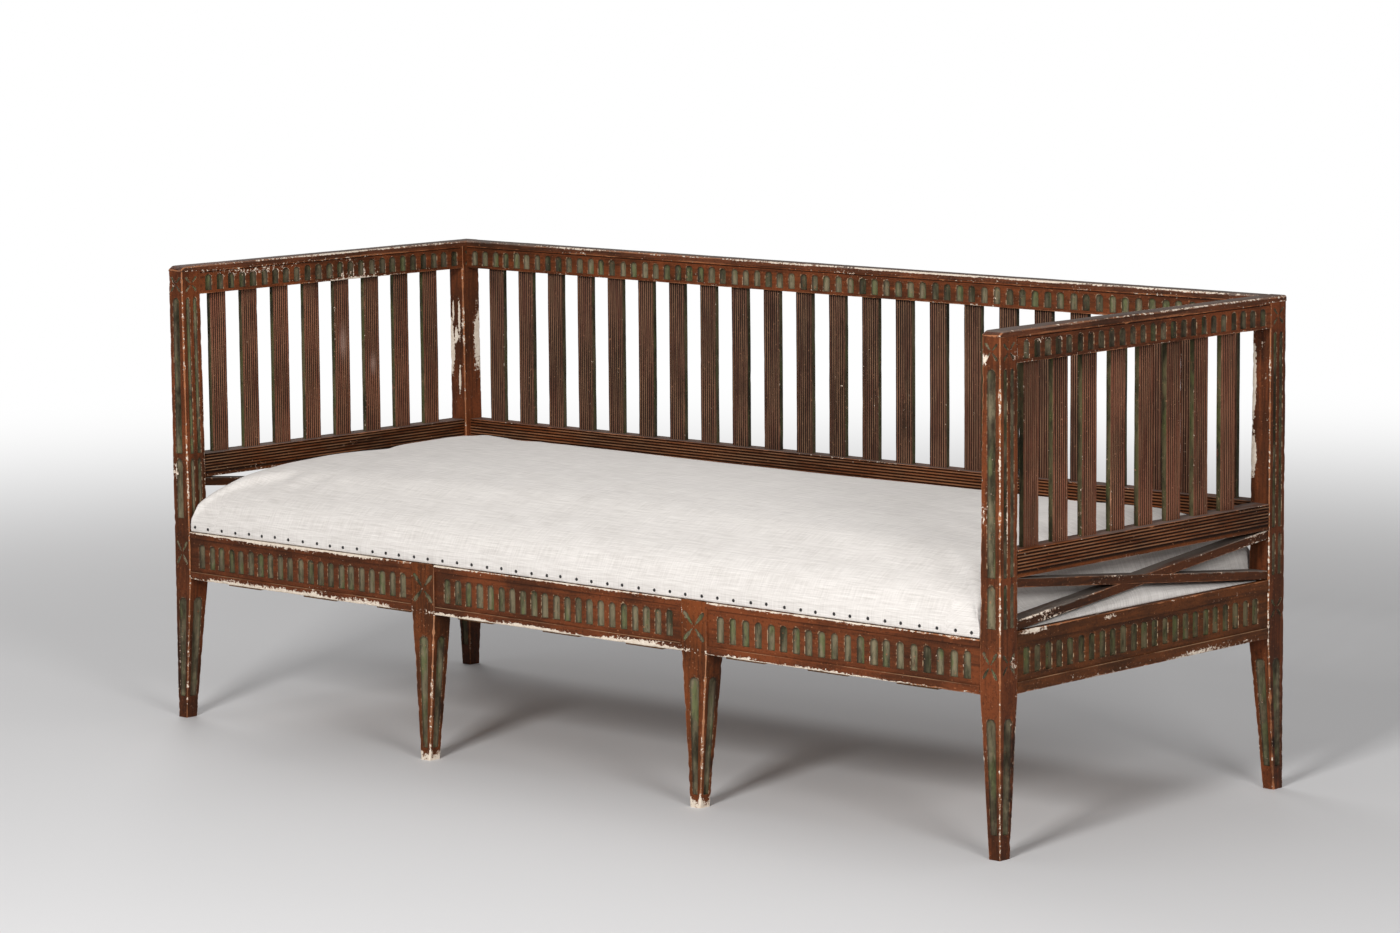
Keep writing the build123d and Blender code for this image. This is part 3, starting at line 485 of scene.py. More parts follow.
for side, side_name in sides:
    for back, back_name in ((-1, "front"), (1, "back")):
        node = f"{back_name}_{side_name}_post"
        spans = front_left_spans if node == "front_left_post" else post_spans
        s = np.unique([*steps(0.0, top_rail_top, 0.0042, leg_span[0], *[low for low, high in spans]),
                       *np.arange(0.282, 0.340, 0.0021), *np.arange(0.774, top_rail_top, 0.0018)])
        widths = np.interp(s, [0, seat_rail_bottom, side_rail_top, top_rail_bottom],
                           [foot_width, post_width, post_width, post_top_width])
        depths = np.interp(s, [0, seat_rail_bottom], [foot_depth, post_depth])
        outer_x, outer_y = side * half_length, back * half_depth
        # Darker near the bottom of each leg, and painted shade down the leg flute of the end face.
        dark_patches = [(outer_x, outer_y, 0.08, 0.06, 0.06, 0.16, 0.75),
                  (outer_x, outer_y - back * 0.025, 0.12, 0.005, 0.030, 0.15, 1.20),
                  *post_dark_patches.get(node, [])]
        post = timber(node, "z", s, between(outer_x, outer_x - side * widths),
                      between(outer_y, outer_y - back * depths),
                      [post_grid, post_grid, post_grid if back < 0 else rear_grid, post_grid],
                      wear((10 + 2 * (side > 0) + (back > 0)) * 10, 0.0021, 26, 0.0022), post_paint,
                      {"flake": spots(*post_flakes[node]), "grime_and_shade": post_grime_and_shade(outer_x, outer_y, dark_patches)},
                      post_carving(side, back, spans))
        stands_for(post, node)

# ---------------------------------------------------------------------------------------------
# Top rails: pine, tenoned into the posts, with a row of short hollow flutes along each, arched
# above and cut square below.  A quirk line runs under the cap.  The back rail's outer side is plain.

def hand_cut(centres, seed, width):
    """Each flute's own middle, width, top and depth, uneven by a few percent as hand work is."""
    draw = np.random.default_rng(seed)
    count = len(centres)
    return (np.asarray(centres) + draw.normal(0, 0.0006, count),
            width * (1 + draw.normal(0, 0.04, count)),
            draw.normal(0, 0.0006, count),
            1 + draw.normal(0, 0.12, count))


def flute_row(s, w, cuts, low, high, deep, arch=0.75):
    """Row of flutes standing across the run: each point asks the flute nearest to it."""
    middles, widths, tops, depths = cuts
    nearest = np.searchsorted((middles[1:] + middles[:-1]) / 2, s)
    return scoop(w, s, low, high + tops[nearest], middles[nearest], widths[nearest],
                 deep * depths[nearest], arch)


def flute_lines(half, cuts, *extra):
    """Stations along a fluted run: nine to each flute, and some between both ends."""
    middles, widths, _, _ = cuts
    share = np.array([-1.05, -0.97, -0.82, -0.45, 0, 0.45, 0.82, 0.97, 1.05]) / 2
    across = (middles[:, None] + widths[:, None] * share).ravel()
    lines = np.array([*across, *np.linspace(-half, half, 9), *extra])
    return np.unique(lines[np.abs(lines) <= half].round(5))


def even_row(count, pitch, middle=0.0):
    """Middles of a row of evenly spaced cuts."""
    return middle + (np.arange(count) - (count - 1) / 2) * pitch


def shares(low, high, lines):
    """Grid lines given in metres, as shares of a face's width, with both edges added."""
    return np.array([0.0, *[(line - low) / (high - low) for line in lines], 1.0])


def end_span(side, thick):
    """Lowest and highest x of a rail at one end of the bench."""
    return between(side * half_length, side * (half_length - thick))


top_flutes, top_flute_depth, top_flute_mark = (0.7925, 0.8215), 0.0048, 0.0040
quirk_low, quirk_high, quirk_depth = 0.8260, 0.8274, 0.0014
arm_thick, back_thick = 0.036, 0.033
arm_half, back_half = half_depth - post_depth, half_length - 0.0365
back_span = (half_depth - back_thick, half_depth)
top_rail_span = (top_rail_bottom, top_rail_top)
plain = np.array([0.0, 0.2, 0.4, 0.6, 0.8, 1.0])
top_rail_lines = shares(top_rail_bottom, top_rail_top,
                        [0.7895, 0.7923, 0.7927, 0.7955, 0.7995, 0.8035, 0.8075, 0.8115, 0.8135,
                         0.8155, 0.8175, 0.8195, 0.8215, 0.8235, 0.8258, 0.8262, 0.8272, 0.8276])
rail_paint_y = old_paint("rail_paint_y", "y")
rail_paint_x = old_paint("rail_paint_x", "x")
top_flakes = {"left": ((-0.939, -0.210, 0.819, 0.02, 0.13, 0.008, 0.42),
                       (-0.939, 0.060, 0.805, 0.02, 0.10, 0.03, 0.30),
                       (-0.939, 0.030, 0.789, 0.02, 0.08, 0.004, 0.40)),
              "right": ((0.975, -0.270, 0.820, 0.02, 0.13, 0.008, 0.30),
                        (0.975, -0.320, 0.800, 0.02, 0.04, 0.03, 0.22))}
# Painted shade inside the top rails' flutes, deeper at the right end.
flute_shade = {"left": 0.50, "right": 0.75}


def top_rail_carving(cuts):
    """Flutes and the quirk on each face that has a row of cuts; the quirk is marked for a painted shade line.
    """
    def carve(face, s, w):
        if face not in cuts:
            return uncarved(face, s, w)
        deep = flute_row(s, w, cuts[face], *top_flutes, top_flute_depth)
        # the quirk carries a painted shade line
        quirk = ((w > quirk_low) & (w < quirk_high)).astype(float)
        return np.maximum(deep, quirk_depth * quirk), np.clip(deep / top_flute_mark, 0, 1), quirk
    return carve


def in_flutes(span, strength):
    """Painted shade for what lies below the nearer of two upright faces, inside the flutes."""
    def mark(points):
        below = np.min([np.abs(points[..., 0] - x) for x in span], axis=0)
        fluted = (points[..., 2] > top_flutes[0] - 0.0002) & (points[..., 2] < top_flutes[1] + 0.002)
        return strength * np.clip((below - 0.0006) / 0.002, 0, 1) * fluted
    return mark


for side, side_name in sides:
    node = f"{side_name}_top_rail"
    cuts = {face: hand_cut(even_row(24, 0.0276), 40 + face + side, 0.0162) for face in (0, 2)}
    s = np.unique(np.concatenate([flute_lines(arm_half, cut) for cut in cuts.values()]))
    x_span = end_span(side, arm_thick)
    marks = {"flake": spots(*top_flakes[side_name]), "grime_and_shade": in_flutes(x_span, flute_shade[side_name])}
    rail = timber(node, "y", s, top_rail_span, x_span, [top_rail_lines, plain] * 2,
                  wear((60 + side) * 7, 0.0014, 20, 0.0018), rail_paint_y, marks, top_rail_carving(cuts))
    stands_for(rail, node)

cuts = hand_cut(even_row(66, 0.0282), 70, 0.0162)
rail = timber("back_top_rail", "x", flute_lines(back_half, cuts), back_span, top_rail_span,
              [plain, plain, plain, top_rail_lines], wear(500, 0.0014, 45, 0.0018), rail_paint_x,
              {"flake": spots((0.2, 0.351, 0.80, 0.5, 0.02, 0.03, 0.10))}, top_rail_carving({3: cuts}))
stands_for(rail, "back_top_rail")

# ---------------------------------------------------------------------------------------------
# Caps: thin boards over the top rails and post tops, nailed down, rounded along both edges.
# Hands have rubbed their tops grey; the arms' front ends are bevelled.

cap_top, cap_dust_level = 0.840, 0.8375
cap_lines = np.linspace(0, 1, 9)
cap_paint = {along: old_paint(f"cap_paint_{along}", along, body=(104, 58, 36), deep=(58, 36, 25),
                              dust=(104, 95, 89), chips=1.3) for along in "xy"}


def dusty_top(level, strength):
    """Mark for whatever lies above a given height."""
    return lambda points: strength * (points[..., 2] > level).astype(float)


for side, side_name in sides:
    node = f"{side_name}_cap"
    s = np.concatenate([np.linspace(-half_depth, -half_depth + 0.012, 7),
                        np.linspace(-half_depth + 0.016, half_depth, 110)])
    height = cap_top - 0.0055 * np.clip(1 - (s + half_depth) / 0.0095, 0, 1) ** 1.3
    marks = {"dust": dusty_top(cap_dust_level, 0.85),
             "flake": spots((side * 0.969, 0.16, 0.838, 0.005, 0.16, 0.004, 0.55),
                            (side * 0.942, 0.05, 0.838, 0.005, 0.22, 0.004, 0.40)),
             "grime_and_shade": spots((side * 0.972, 0.10, 0.838, 0.006, 0.30, 0.004, 0.80))}
    cap = timber(node, "y", s, (top_rail_top, height), end_span(side, arm_thick), [plain, cap_lines] * 2,
                 wear((80 + side) * 5, 0.0034, 8, 0.001, rounded=(0, 1)), cap_paint["y"], marks)
    stands_for(cap, node)
cap_half = half_length - arm_thick
cap = timber("back_cap", "x", np.linspace(-cap_half, cap_half, 240), back_span, (top_rail_top, cap_top),
             [plain, plain, cap_lines, plain], wear(420, 0.0034, 14, 0.001, rounded=(1, 2)), cap_paint["x"],
             {"dust": dusty_top(cap_dust_level, 0.85),
              "flake": spots((0.30, 0.353, 0.838, 0.60, 0.005, 0.004, 0.34))})
stands_for(cap, "back_cap")

# ---------------------------------------------------------------------------------------------
# Lower rails: pine, tenoned into the posts.  Six planed reeds run the length of both faces above a
# plain strip.

def reeds(w, low, high, count, deep):
    """Rounded reeds side by side: each is half an ellipse, with a sharp valley between two.

    The shading mark paints shade into the valleys and is negative on the crests, for a painted highlight.
    """
    pitch = (high - low) / count
    inside = (w > low - 1e-6) & (w < high + 1e-6)
    across = 2 * np.mod(np.clip((w - low) / pitch, 0, count - 1e-9), 1) - 1
    across = np.abs(np.where(np.isclose(np.abs(across), 1, atol=1e-6), 1, across))
    valley = 1 - np.sqrt(np.clip(1 - across ** 2, 0, 1))
    # painted shade towards each valley, painted highlight on the crests
    dark = np.clip((across - 0.25) / 0.60, 0, 1)
    crest_highlight = -0.50 * np.clip((0.45 - across) / 0.20, 0, 1)
    return deep * valley * inside, (dark + crest_highlight) * inside


def reed_lines(low, high, count):
    """Seven grid lines to each reed."""
    pitch = (high - low) / count
    share = np.array([0.0, 0.06, 0.2, 0.4, 0.6, 0.8, 0.94])
    return [*(low + pitch * (np.arange(count)[:, None] + share)).ravel(), high]


lower_reeds = (0.4560, 0.4885, 6)
lower_dust_level = 0.4903
lower_half = half_length - 0.0399
lower_rail_span = (lower_rail_bottom, lower_rail_top)
lower_lines = shares(lower_rail_bottom, lower_rail_top, [0.4500, *reed_lines(*lower_reeds)])
# Lower rails at the ends get a darker copy of the paint: painted shade for faces that look along x.
shaded_lower_paint_y = old_paint("shaded_lower_paint_y", "y", body=(104, 55, 25), deep=(70, 37, 17))
lower_paint_x = old_paint("lower_paint_x", "x", body=(114, 62, 32), deep=(78, 42, 22))


def lower_carving(faces):
    """Reeds on the named faces of a lower rail."""
    def carve(face, s, w):
        if face not in faces:
            return uncarved(face, s, w)
        deep, painted_shading = reeds(w, *lower_reeds, 0.0026)
        return deep, np.zeros_like(w), painted_shading
    return carve


for side, side_name in sides:
    node = f"{side_name}_lower_rail"
    marks = {"dust": dusty_top(lower_dust_level, 0.7),
             "flake": spots((side * 0.94, -0.25, 0.47, 0.02, 0.1, 0.03, 0.2))}
    rail = timber(node, "y", np.linspace(-arm_half, arm_half, 90), lower_rail_span, end_span(side, arm_thick),
                  [lower_lines, plain] * 2, wear((90 + side) * 3, 0.0013, 14, 0.0014), shaded_lower_paint_y, marks,
                  lower_carving((0, 2)))
    stands_for(rail, node)
rail = timber("back_lower_rail", "x", np.linspace(-lower_half, lower_half, 200), back_span, lower_rail_span,
              [plain, lower_lines] * 2, wear(610, 0.0013, 30, 0.0014), lower_paint_x,
              {"dust": dusty_top(lower_dust_level, 0.7)}, lower_carving((1, 3)))
stands_for(rail, "back_lower_rail")

# ---------------------------------------------------------------------------------------------
# Slats: thin laths with seven fine reeds, standing in mortises in the rails.
# Their narrow edges kept the green-grey paint; the back's are plain behind.

slat_wide, slat_thick, slat_tenon = 0.038, 0.010, 0.004
slat_reeds = (0.0012, slat_wide - 0.0012, 7)
slat_stations = [lower_rail_top - slat_tenon, *np.linspace(lower_rail_top, top_rail_bottom, 24),
                 top_rail_bottom + slat_tenon]
slat_lines = shares(0, slat_wide, reed_lines(*slat_reeds))
edge_lines = np.array([0.0, 0.33, 0.67, 1.0])
slat_paint = old_paint("slat_paint", "z", body=(130, 80, 60), deep=(92, 55, 40), hollow=(84, 76, 52),
                       bare=(168, 124, 96), dust=(144, 118, 106), line=(34, 24, 13), chips=0.7, rub=0.8)
back_slat_paint = old_paint("back_slat_paint", "z", body=(104, 67, 52), deep=(73, 47, 36),
                            hollow=(78, 70, 50), bare=(150, 108, 80), line=(32, 22, 13), chips=0.7, rub=0.8)
slat_scuffs = spots((-0.957, 0.030, 0.666, 0.05, 0.008, 0.026, 0.8),
                    (-0.957, 0.108, 0.618, 0.05, 0.007, 0.015, 0.9))


def slat(name, x, y, wide_along, seed, paint):
    """One slat, wide along x with reeds in front only, or wide along y with reeds on both faces."""
    if wide_along == "y":
        half_x, half_y, broad, centre = slat_thick / 2, slat_wide / 2, (1, 3), y
        faces = [edge_lines, slat_lines] * 2
    else:
        half_x, half_y, broad, centre = slat_wide / 2, slat_thick / 2, (0,), x
        faces = [slat_lines, edge_lines, plain, edge_lines]

    def carve(face, s, w):
        """Reeds on the broad faces; the narrow ones are marked for green paint."""
        if face in broad:
            deep, painted_shading = reeds(w - centre + slat_wide / 2, *slat_reeds, 0.0021)
            return deep, np.zeros_like(w), painted_shading
        plain_back = face == 2 and wide_along == "x"
        return np.zeros_like(w), np.full_like(w, 0.0 if plain_back else 1.0), np.zeros_like(w)

    return timber(name, "z", slat_stations, (x - half_x, x + half_x), (y - half_y, y + half_y), faces,
                  wear(seed * 4, 0.0008, 4, 0.0008), paint, {"dust": slat_scuffs}, carve, 0.0003, seed)


arm_rows = {"left": (-0.2850, 0.0783), "right": (-0.2890, 0.0752)}
for side, side_name in sides:
    first, pitch = arm_rows[side_name]
    for number in range(8):
        node = f"{side_name}_slat_{number + 1}"
        lath = slat(node, side * (half_length - arm_thick / 2), first + number * pitch, "y",
                    200 + number + 20 * (side > 0), slat_paint)
        stands_for(lath, node)

back_laths = [slat(f"back_lath_{number}", x, half_depth - back_thick / 2, "x", 300 + number, back_slat_paint)
              for number, x in enumerate(even_row(23, 0.0791))]
back_slats = back_laths[0]
with bpy.context.temp_override(active_object=back_slats, selected_editable_objects=back_laths,
                               object=back_slats, selected_objects=back_laths):
    bpy.ops.object.join()
back_slats.name = "back_slats_reeded"
back_slats.data.name = "back_slats_reeded"
stands_for(back_slats, "back_slats")

# ---------------------------------------------------------------------------------------------
# Side seat rails: pine, tenoned into the posts, with a sunk frieze and a row of flutes outside.
# The back seat rail is a plain board.

rail_thick, sunk, block_half = 0.030, 0.0025, 0.0305
frieze_flute, frieze_flute_mark = 0.0052, 0.0042
side_frieze, side_flutes = (0.2805, 0.3420), (0.2905, 0.3345)
side_rail_span = (seat_rail_bottom, side_rail_top)
side_lines = shares(seat_rail_bottom, side_rail_top,
                    [0.266, 0.272, 0.2785, 0.2803, 0.2807, 0.2855, 0.2903, 0.2907, 0.294, 0.299, 0.304, 0.309,
                     0.314, 0.319, 0.323, 0.3255, 0.328, 0.3305, 0.3325, 0.3345, 0.337, 0.3418, 0.3422, 0.348,
                     0.354, 0.359])
# Side seat rails get a darker copy of the paint, flutes too: painted shade for faces that look along x.
shaded_seat_paint_y = old_paint("shaded_seat_paint_y", "y", body=(97, 53, 25), deep=(62, 35, 17),
                         hollow=(108, 98, 72), chips=1.3)
seat_paint_x = old_paint("seat_paint_x", "x", body=(114, 59, 31), deep=(70, 37, 20), chips=1.3)


def frieze_carving(face_out, frieze, flutes, cuts, arch, blocks=()):
    """Sunk frieze with a row of flutes on one face, broken by plain blocks.

    The shading mark paints shade that fades away from the frieze's edges and the blocks, and a painted
    highlight on its lower step.
    """
    low, high = frieze

    def carve(face, s, w):
        if face != face_out:
            return uncarved(face, s, w)
        from_blocks = np.min([np.full_like(s, 1.0), *[np.abs(s - x) for x in blocks]], axis=0) - block_half
        inside = (w > low) & (w < high) & (from_blocks >= 0)
        deep = flute_row(s, w, cuts, *flutes, frieze_flute, arch) * (from_blocks >= 0)
        # painted shade along the sunk frieze's edges and beside the blocks, and a painted highlight on the
        # lower step
        edge = np.maximum(np.exp(-np.minimum(np.abs(w - low), np.abs(w - high)) / 0.0012),
                          np.exp(-np.abs(from_blocks) / 0.0008)) * inside
        step = (np.abs(w - low + 0.0002) < 1e-4) & (from_blocks >= 0)
        return (sunk * inside + deep, np.clip(deep / frieze_flute_mark, 0, 1),
                np.where(step, -0.8, 0.45 * edge))
    return carve


for side, side_name in sides:
    node = f"{side_name}_seat_rail"
    cuts = hand_cut(even_row(23, 0.0281, -0.0035), 110 + side, 0.0162)
    face_out = 2 if side > 0 else 0
    flakes = spots((side * 0.975, 0.130, 0.268, 0.02, 0.10, 0.005, 0.66),
                   (side * 0.975, -0.05, 0.270, 0.02, 0.26, 0.006, 0.40),
                   (side * 0.975, -0.10, 0.355, 0.02, 0.02, 0.003, 0.76),
                   (side * 0.975, -0.30, 0.357, 0.02, 0.04, 0.005, 0.60))
    rail = timber(node, "y", flute_lines(arm_half, cuts), side_rail_span, end_span(side, rail_thick),
                  [side_lines if k == face_out else plain for k in range(4)],
                  wear((120 + side) * 3, 0.0016, 22, 0.0022), shaded_seat_paint_y, {"flake": flakes},
                  frieze_carving(face_out, side_frieze, side_flutes, cuts, 0.60))
    stands_for(rail, node)

post_inner = half_length - post_width
rail = timber("back_seat_rail", "x", np.linspace(-post_inner, post_inner, 160),
              (half_depth - rail_thick, half_depth), side_rail_span, [plain, np.linspace(0, 1, 9)] * 2,
              wear(640, 0.0016, 30, 0.0018), seat_paint_x)
stands_for(rail, "back_seat_rail")

# ---------------------------------------------------------------------------------------------
# Crossed bars: two pine bars make an X under each arm, halved over each other at the middle and
# let into the posts.  Dust lies on top of them.

bar_tall, bar_deep, bar_inset, bar_gap = 0.0075, 0.032, 0.003, 0.0006
bar_low = side_rail_top + bar_tall + bar_gap
bar_high = lower_rail_bottom - bar_tall - bar_gap
bar_outer = half_length - bar_inset
bar_paint = old_paint("bar_paint", "y", body=(80, 43, 22), deep=(48, 28, 16), dust=(112, 104, 97), chips=1.2)


def on_top(points):
    """Mark for a bar's top, where each ring is highest."""
    low = points[..., 2].min(axis=1, keepdims=True)
    high = points[..., 2].max(axis=1, keepdims=True)
    return 0.9 * ((points[..., 2] - low) / (high - low) > 0.93)


for side, side_name in sides:
    for rise, suffix in ((1, "bar_to_back"), (-1, "bar_to_front")):
        node = f"{side_name}_{suffix}"
        s = np.linspace(-arm_half, arm_half, 120)
        middle = (bar_low + bar_high) / 2 + rise * (bar_high - bar_low) / 2 * s / arm_half
        x_span = between(side * (bar_outer - bar_deep), side * (bar_outer - 0.0003 * (rise > 0)))
        flakes = spots((side * 0.965, 0.30, 0.44, 0.03, 0.04, 0.02, 0.30),
                       (side * 0.965, -0.27, 0.38, 0.03, 0.07, 0.02, 0.26))
        bar = timber(node, "y", s, (middle - bar_tall, middle + bar_tall), x_span, [plain] * 4,
                     wear((130 + side + rise) * 3, 0.0012, 14, 0.0014), bar_paint,
                     {"dust": on_top, "flake": flakes})
        stands_for(bar, node)

# ---------------------------------------------------------------------------------------------
# Front rail: slides out with the bed.  Three sunk friezes of flutes stand between plain blocks,
# and each block is the top of a middle leg halved into the rail.

front_top, front_thick = 0.350, 0.034
front_frieze, front_flutes = (0.2765, 0.3385), (0.2845, 0.3285)
middle_legs = {"left": -0.320, "right": 0.324}
rail_half = post_inner - 0.0008
panels = [(-0.6375, 21, 0.0265), (0.003, 21, 0.0264), (0.644, 20, 0.0276)]
flute_middles = np.concatenate([even_row(count, pitch, middle) for middle, count, pitch in panels])
cuts = hand_cut(flute_middles, 140, 0.0164)
leg_wide, leg_deep, leg_lap = 0.056, 0.043, 0.017
slot_half = leg_wide / 2 + 0.0003
beside_leg = [*np.linspace(-0.030, 0.030, 31),
              *[way * block_half + d for way in (-1, 1) for d in (-0.0012, -0.0002, 0.0002, 0.0012)],
              *[way * slot_half + d for way in (-1, 1) for d in (-0.0001, 0.0001)]]
s = flute_lines(rail_half, cuts, *[x + d for x in middle_legs.values() for d in beside_leg])
in_slot = np.min([np.abs(s - x) for x in middle_legs.values()], axis=0) < slot_half
front_face = np.where(in_slot, -half_depth + leg_lap + 0.0002, -half_depth)
front_lines = shares(seat_rail_bottom, front_top,
                     [0.266, 0.270, 0.2745, 0.2763, 0.2767, 0.281, 0.2843, 0.2847, 0.288, 0.2915, 0.295,
                      0.2985, 0.302, 0.3055, 0.309, 0.3125, 0.316, 0.3185, 0.321, 0.3235, 0.3255, 0.3272,
                      0.3287, 0.332, 0.3383, 0.3387, 0.343, 0.347])
fallen_along = ((-0.70, 0.3505, 0.24, 0.0075, 0.68), (-0.50, 0.3505, 0.10, 0.0075, 0.66),
                (-0.27, 0.3505, 0.10, 0.005, 0.50), (0.10, 0.3500, 0.40, 0.004, 0.28),
                (0.62, 0.3500, 0.30, 0.005, 0.30), (-0.66, 0.2645, 0.18, 0.0085, 0.78),
                (-0.60, 0.2660, 0.04, 0.0105, 0.90), (-0.47, 0.2650, 0.07, 0.0085, 0.80),
                (-0.80, 0.2640, 0.08, 0.0075, 0.80), (-0.27, 0.2660, 0.05, 0.007, 0.66),
                (-0.20, 0.2640, 0.04, 0.006, 0.72), (-0.05, 0.2640, 0.11, 0.0065, 0.74),
                (0.19, 0.2650, 0.13, 0.0075, 0.82), (0.62, 0.2640, 0.28, 0.005, 0.36),
                (0.43, 0.2650, 0.04, 0.007, 0.50))
front_flakes = [(x, -half_depth, z, reach_x, 0.02, reach_z, strength)
                for x, z, reach_x, reach_z, strength in fallen_along]
front_rail = timber("front_rail_fluted", "x", s, (front_face, -half_depth + front_thick),
                    (seat_rail_bottom, front_top), [plain, np.linspace(0, 1, 8), plain, front_lines],
                    wear(700, 0.0022, 60, 0.0026), seat_paint_x,
                    {"flake": spots(*front_flakes, (0.70, -0.3815, 0.296, 0.006, 0.006, 0.008, 0.8)),
                     "grime_and_shade": spots((-0.80, -0.384, 0.306, 0.34, 0.02, 0.07, 0.45))},
                    frieze_carving(3, front_frieze, front_flutes, cuts, 0.85, middle_legs.values()))
stands_for(front_rail, "front_rail", body="pullout")

# ---------------------------------------------------------------------------------------------
# Middle legs: pine, tapering on both sides and behind, fluted in front and on the sides, their
# tops halved into the front rail.  Their feet are rubbed bare.

middle_leg_span = (0.022, 0.222)
leg_paint = old_paint("leg_paint", "z", body=(118, 61, 29), deep=(71, 38, 18), bare=(176, 124, 90),
                      chips=1.25, rub=1.2)
lap_stations = np.arange(seat_rail_bottom + 0.0001, front_top, 0.0018)
leg_stations = np.concatenate([steps(0.0, seat_rail_bottom - 0.0003, 0.0040, middle_leg_span[0]),
                               lap_stations, [front_top]])
lapped = leg_stations > seat_rail_bottom
tapered = [np.interp(leg_stations, [0, seat_rail_bottom], ends)
           for ends in ([foot_width, leg_wide], [foot_depth, leg_deep])]
leg_widths = np.where(lapped, leg_wide, tapered[0])
leg_depths = np.where(lapped, leg_lap, tapered[1])


def leg_carving(leg_x):
    """A stopped flute up the front and each side, and the rosette on the lap."""
    def carve(face, s, w):
        deep, leaf = np.zeros_like(w), np.zeros_like(w)
        climb = s / seat_rail_bottom
        if face == 0:
            wide = foot_width + (leg_wide - foot_width) * climb
            deep = scoop(s, w, *middle_leg_span, leg_x, 0.46 * wide, 0.0044)
            leaf = leaves(s, w, 0.3065, leg_x, 0.0300, 0.0280, 0.0024)
        if face in (1, 3):
            wide = foot_depth + (leg_deep - foot_depth) * climb
            deep = scoop(s, w, *middle_leg_span, -half_depth + wide / 2, 0.48 * wide, 0.0042)
        hollow = np.maximum(deep / 0.0034, leaf / leaf_mark)
        return np.maximum(deep, leaf), np.clip(hollow, 0, 1), np.zeros_like(w)
    return carve


def leg_wear(seed):
    """Leg arrises are rounded by wear; the lap's stay crisp in their slot."""
    worn = wear(seed, 0.0024, 18, 0.0026)
    return lambda t, k: np.where(t > seat_rail_bottom, 0.0006, worn(t, k))


for leg_name, leg_x in middle_legs.items():
    node = f"{leg_name}_middle_leg"
    # Marks: gesso flakes, darker patches low on the leg, and painted shade in the flute of the right side
    # face.
    marks = {"flake": spots((leg_x, -0.384, 0.266, 0.04, 0.02, 0.006, 0.46),
                            (leg_x, -0.384, 0.306, 0.004, 0.01, 0.004, 0.7),
                            (leg_x + 0.014, -0.384, 0.12, 0.008, 0.01, 0.09, 0.06),
                            (leg_x, -0.384, 0.0, 0.05, 0.05, 0.016, 0.95)),
             "grime_and_shade": spots((leg_x, -0.384, 0.07, 0.05, 0.05, 0.10, 0.50),
                            (leg_x + 0.027, -0.360, 0.18, 0.008, 0.020, 0.08, 1.10),
                            (leg_x + 0.017, -0.366, 0.08, 0.005, 0.016, 0.06, 1.10))}
    leg = timber(node, "z", leg_stations, (leg_x - leg_widths / 2, leg_x + leg_widths / 2),
                 (-half_depth, -half_depth + leg_depths), [post_grid, post_grid, plain, post_grid],
                 leg_wear((150 + int(leg_x * 10)) * 3), leg_paint, marks, leg_carving(leg_x))
    stands_for(leg, node, body="pullout")

# ---------------------------------------------------------------------------------------------
# Linen seat: stuffing under a tight linen cover, nailed along the front of the seat board and
# drawn over the side rails under the crossed bars.

linen, linen_tree, cloth_shader = surface("linen", Roughness=0.92, Specular_IOR_Level=0.15, Sheen_Weight=0.15,
                                          Sheen_Roughness=0.6)
where = wire(linen_tree, "ShaderNodeAttribute", {"attribute_name": "weave"}).outputs["Vector"]
times, plus = arithmetic(linen_tree, "MULTIPLY"), arithmetic(linen_tree, "ADD")


def threads(along, across, scale, detail=3.0):
    """Noise drawn out along one thread direction, as slubs in the yarn are."""
    laid = wire(linen_tree, "ShaderNodeMapping", Vector=where, Scale=(along, across, 1.0)).outputs[0]
    return wire(linen_tree, "ShaderNodeTexNoise", Vector=laid, Scale=scale, Detail=detail,
                Roughness=0.6).outputs["Fac"]


weft, warp = threads(0.05, 1.0, 420.0), threads(1.0, 0.05, 380.0)
slub, cloudy = threads(0.06, 1.0, 150.0, 4.0), threads(1.0, 1.0, 9.0)
yarn = plus(plus(plus(times(weft, 0.42), times(warp, 0.26)), times(slub, 0.22)), times(cloudy, 0.10))
tone = wire(linen_tree, "ShaderNodeMapRange", Value=yarn, From_Min=0.33, From_Max=0.67).outputs[0]
shade = wire(linen_tree, "ShaderNodeMix", {"data_type": "RGBA"}, i0=tone, i6=linear(186, 180, 174),
             i7=linear(234, 229, 224))
woven = wire(linen_tree, "ShaderNodeBump", Height=yarn, Distance=0.0012, Strength=0.8)
linen_tree.links.new(shade.outputs[2], cloth_shader.inputs["Base Color"])
linen_tree.links.new(woven.outputs[0], cloth_shader.inputs["Normal"])

pad_front, pad_back, pad_end, bar_side = -0.3824, 0.3655, 0.9665, 0.9380
board_top, lap_low, pad_low = 0.3692, 0.3624, 0.3507
corner_x, corner_y = 0.9318, 0.3365
profile_y = [pad_front, pad_front, -0.3795, -0.3700, -0.3470, -0.3000, -0.2350, -0.1200, 0.0200, 0.1800,
             0.2900, 0.3360, 0.3500, 0.3580, pad_back, pad_back]
profile_z = [pad_low, 0.3860, 0.4000, 0.4140, 0.4300, 0.4480, 0.4640, 0.4800, 0.4870, 0.4860,
             0.4760, 0.4620, 0.4480, 0.4300, 0.4000, board_top]
end_x = [0, 0.40, 0.72, 0.80, 0.86, 0.890, 0.910, 0.925, 0.9385]
end_rise = [0.200, 0.180, 0.150, 0.138, 0.122, 0.108, 0.088, 0.060, 0.026]


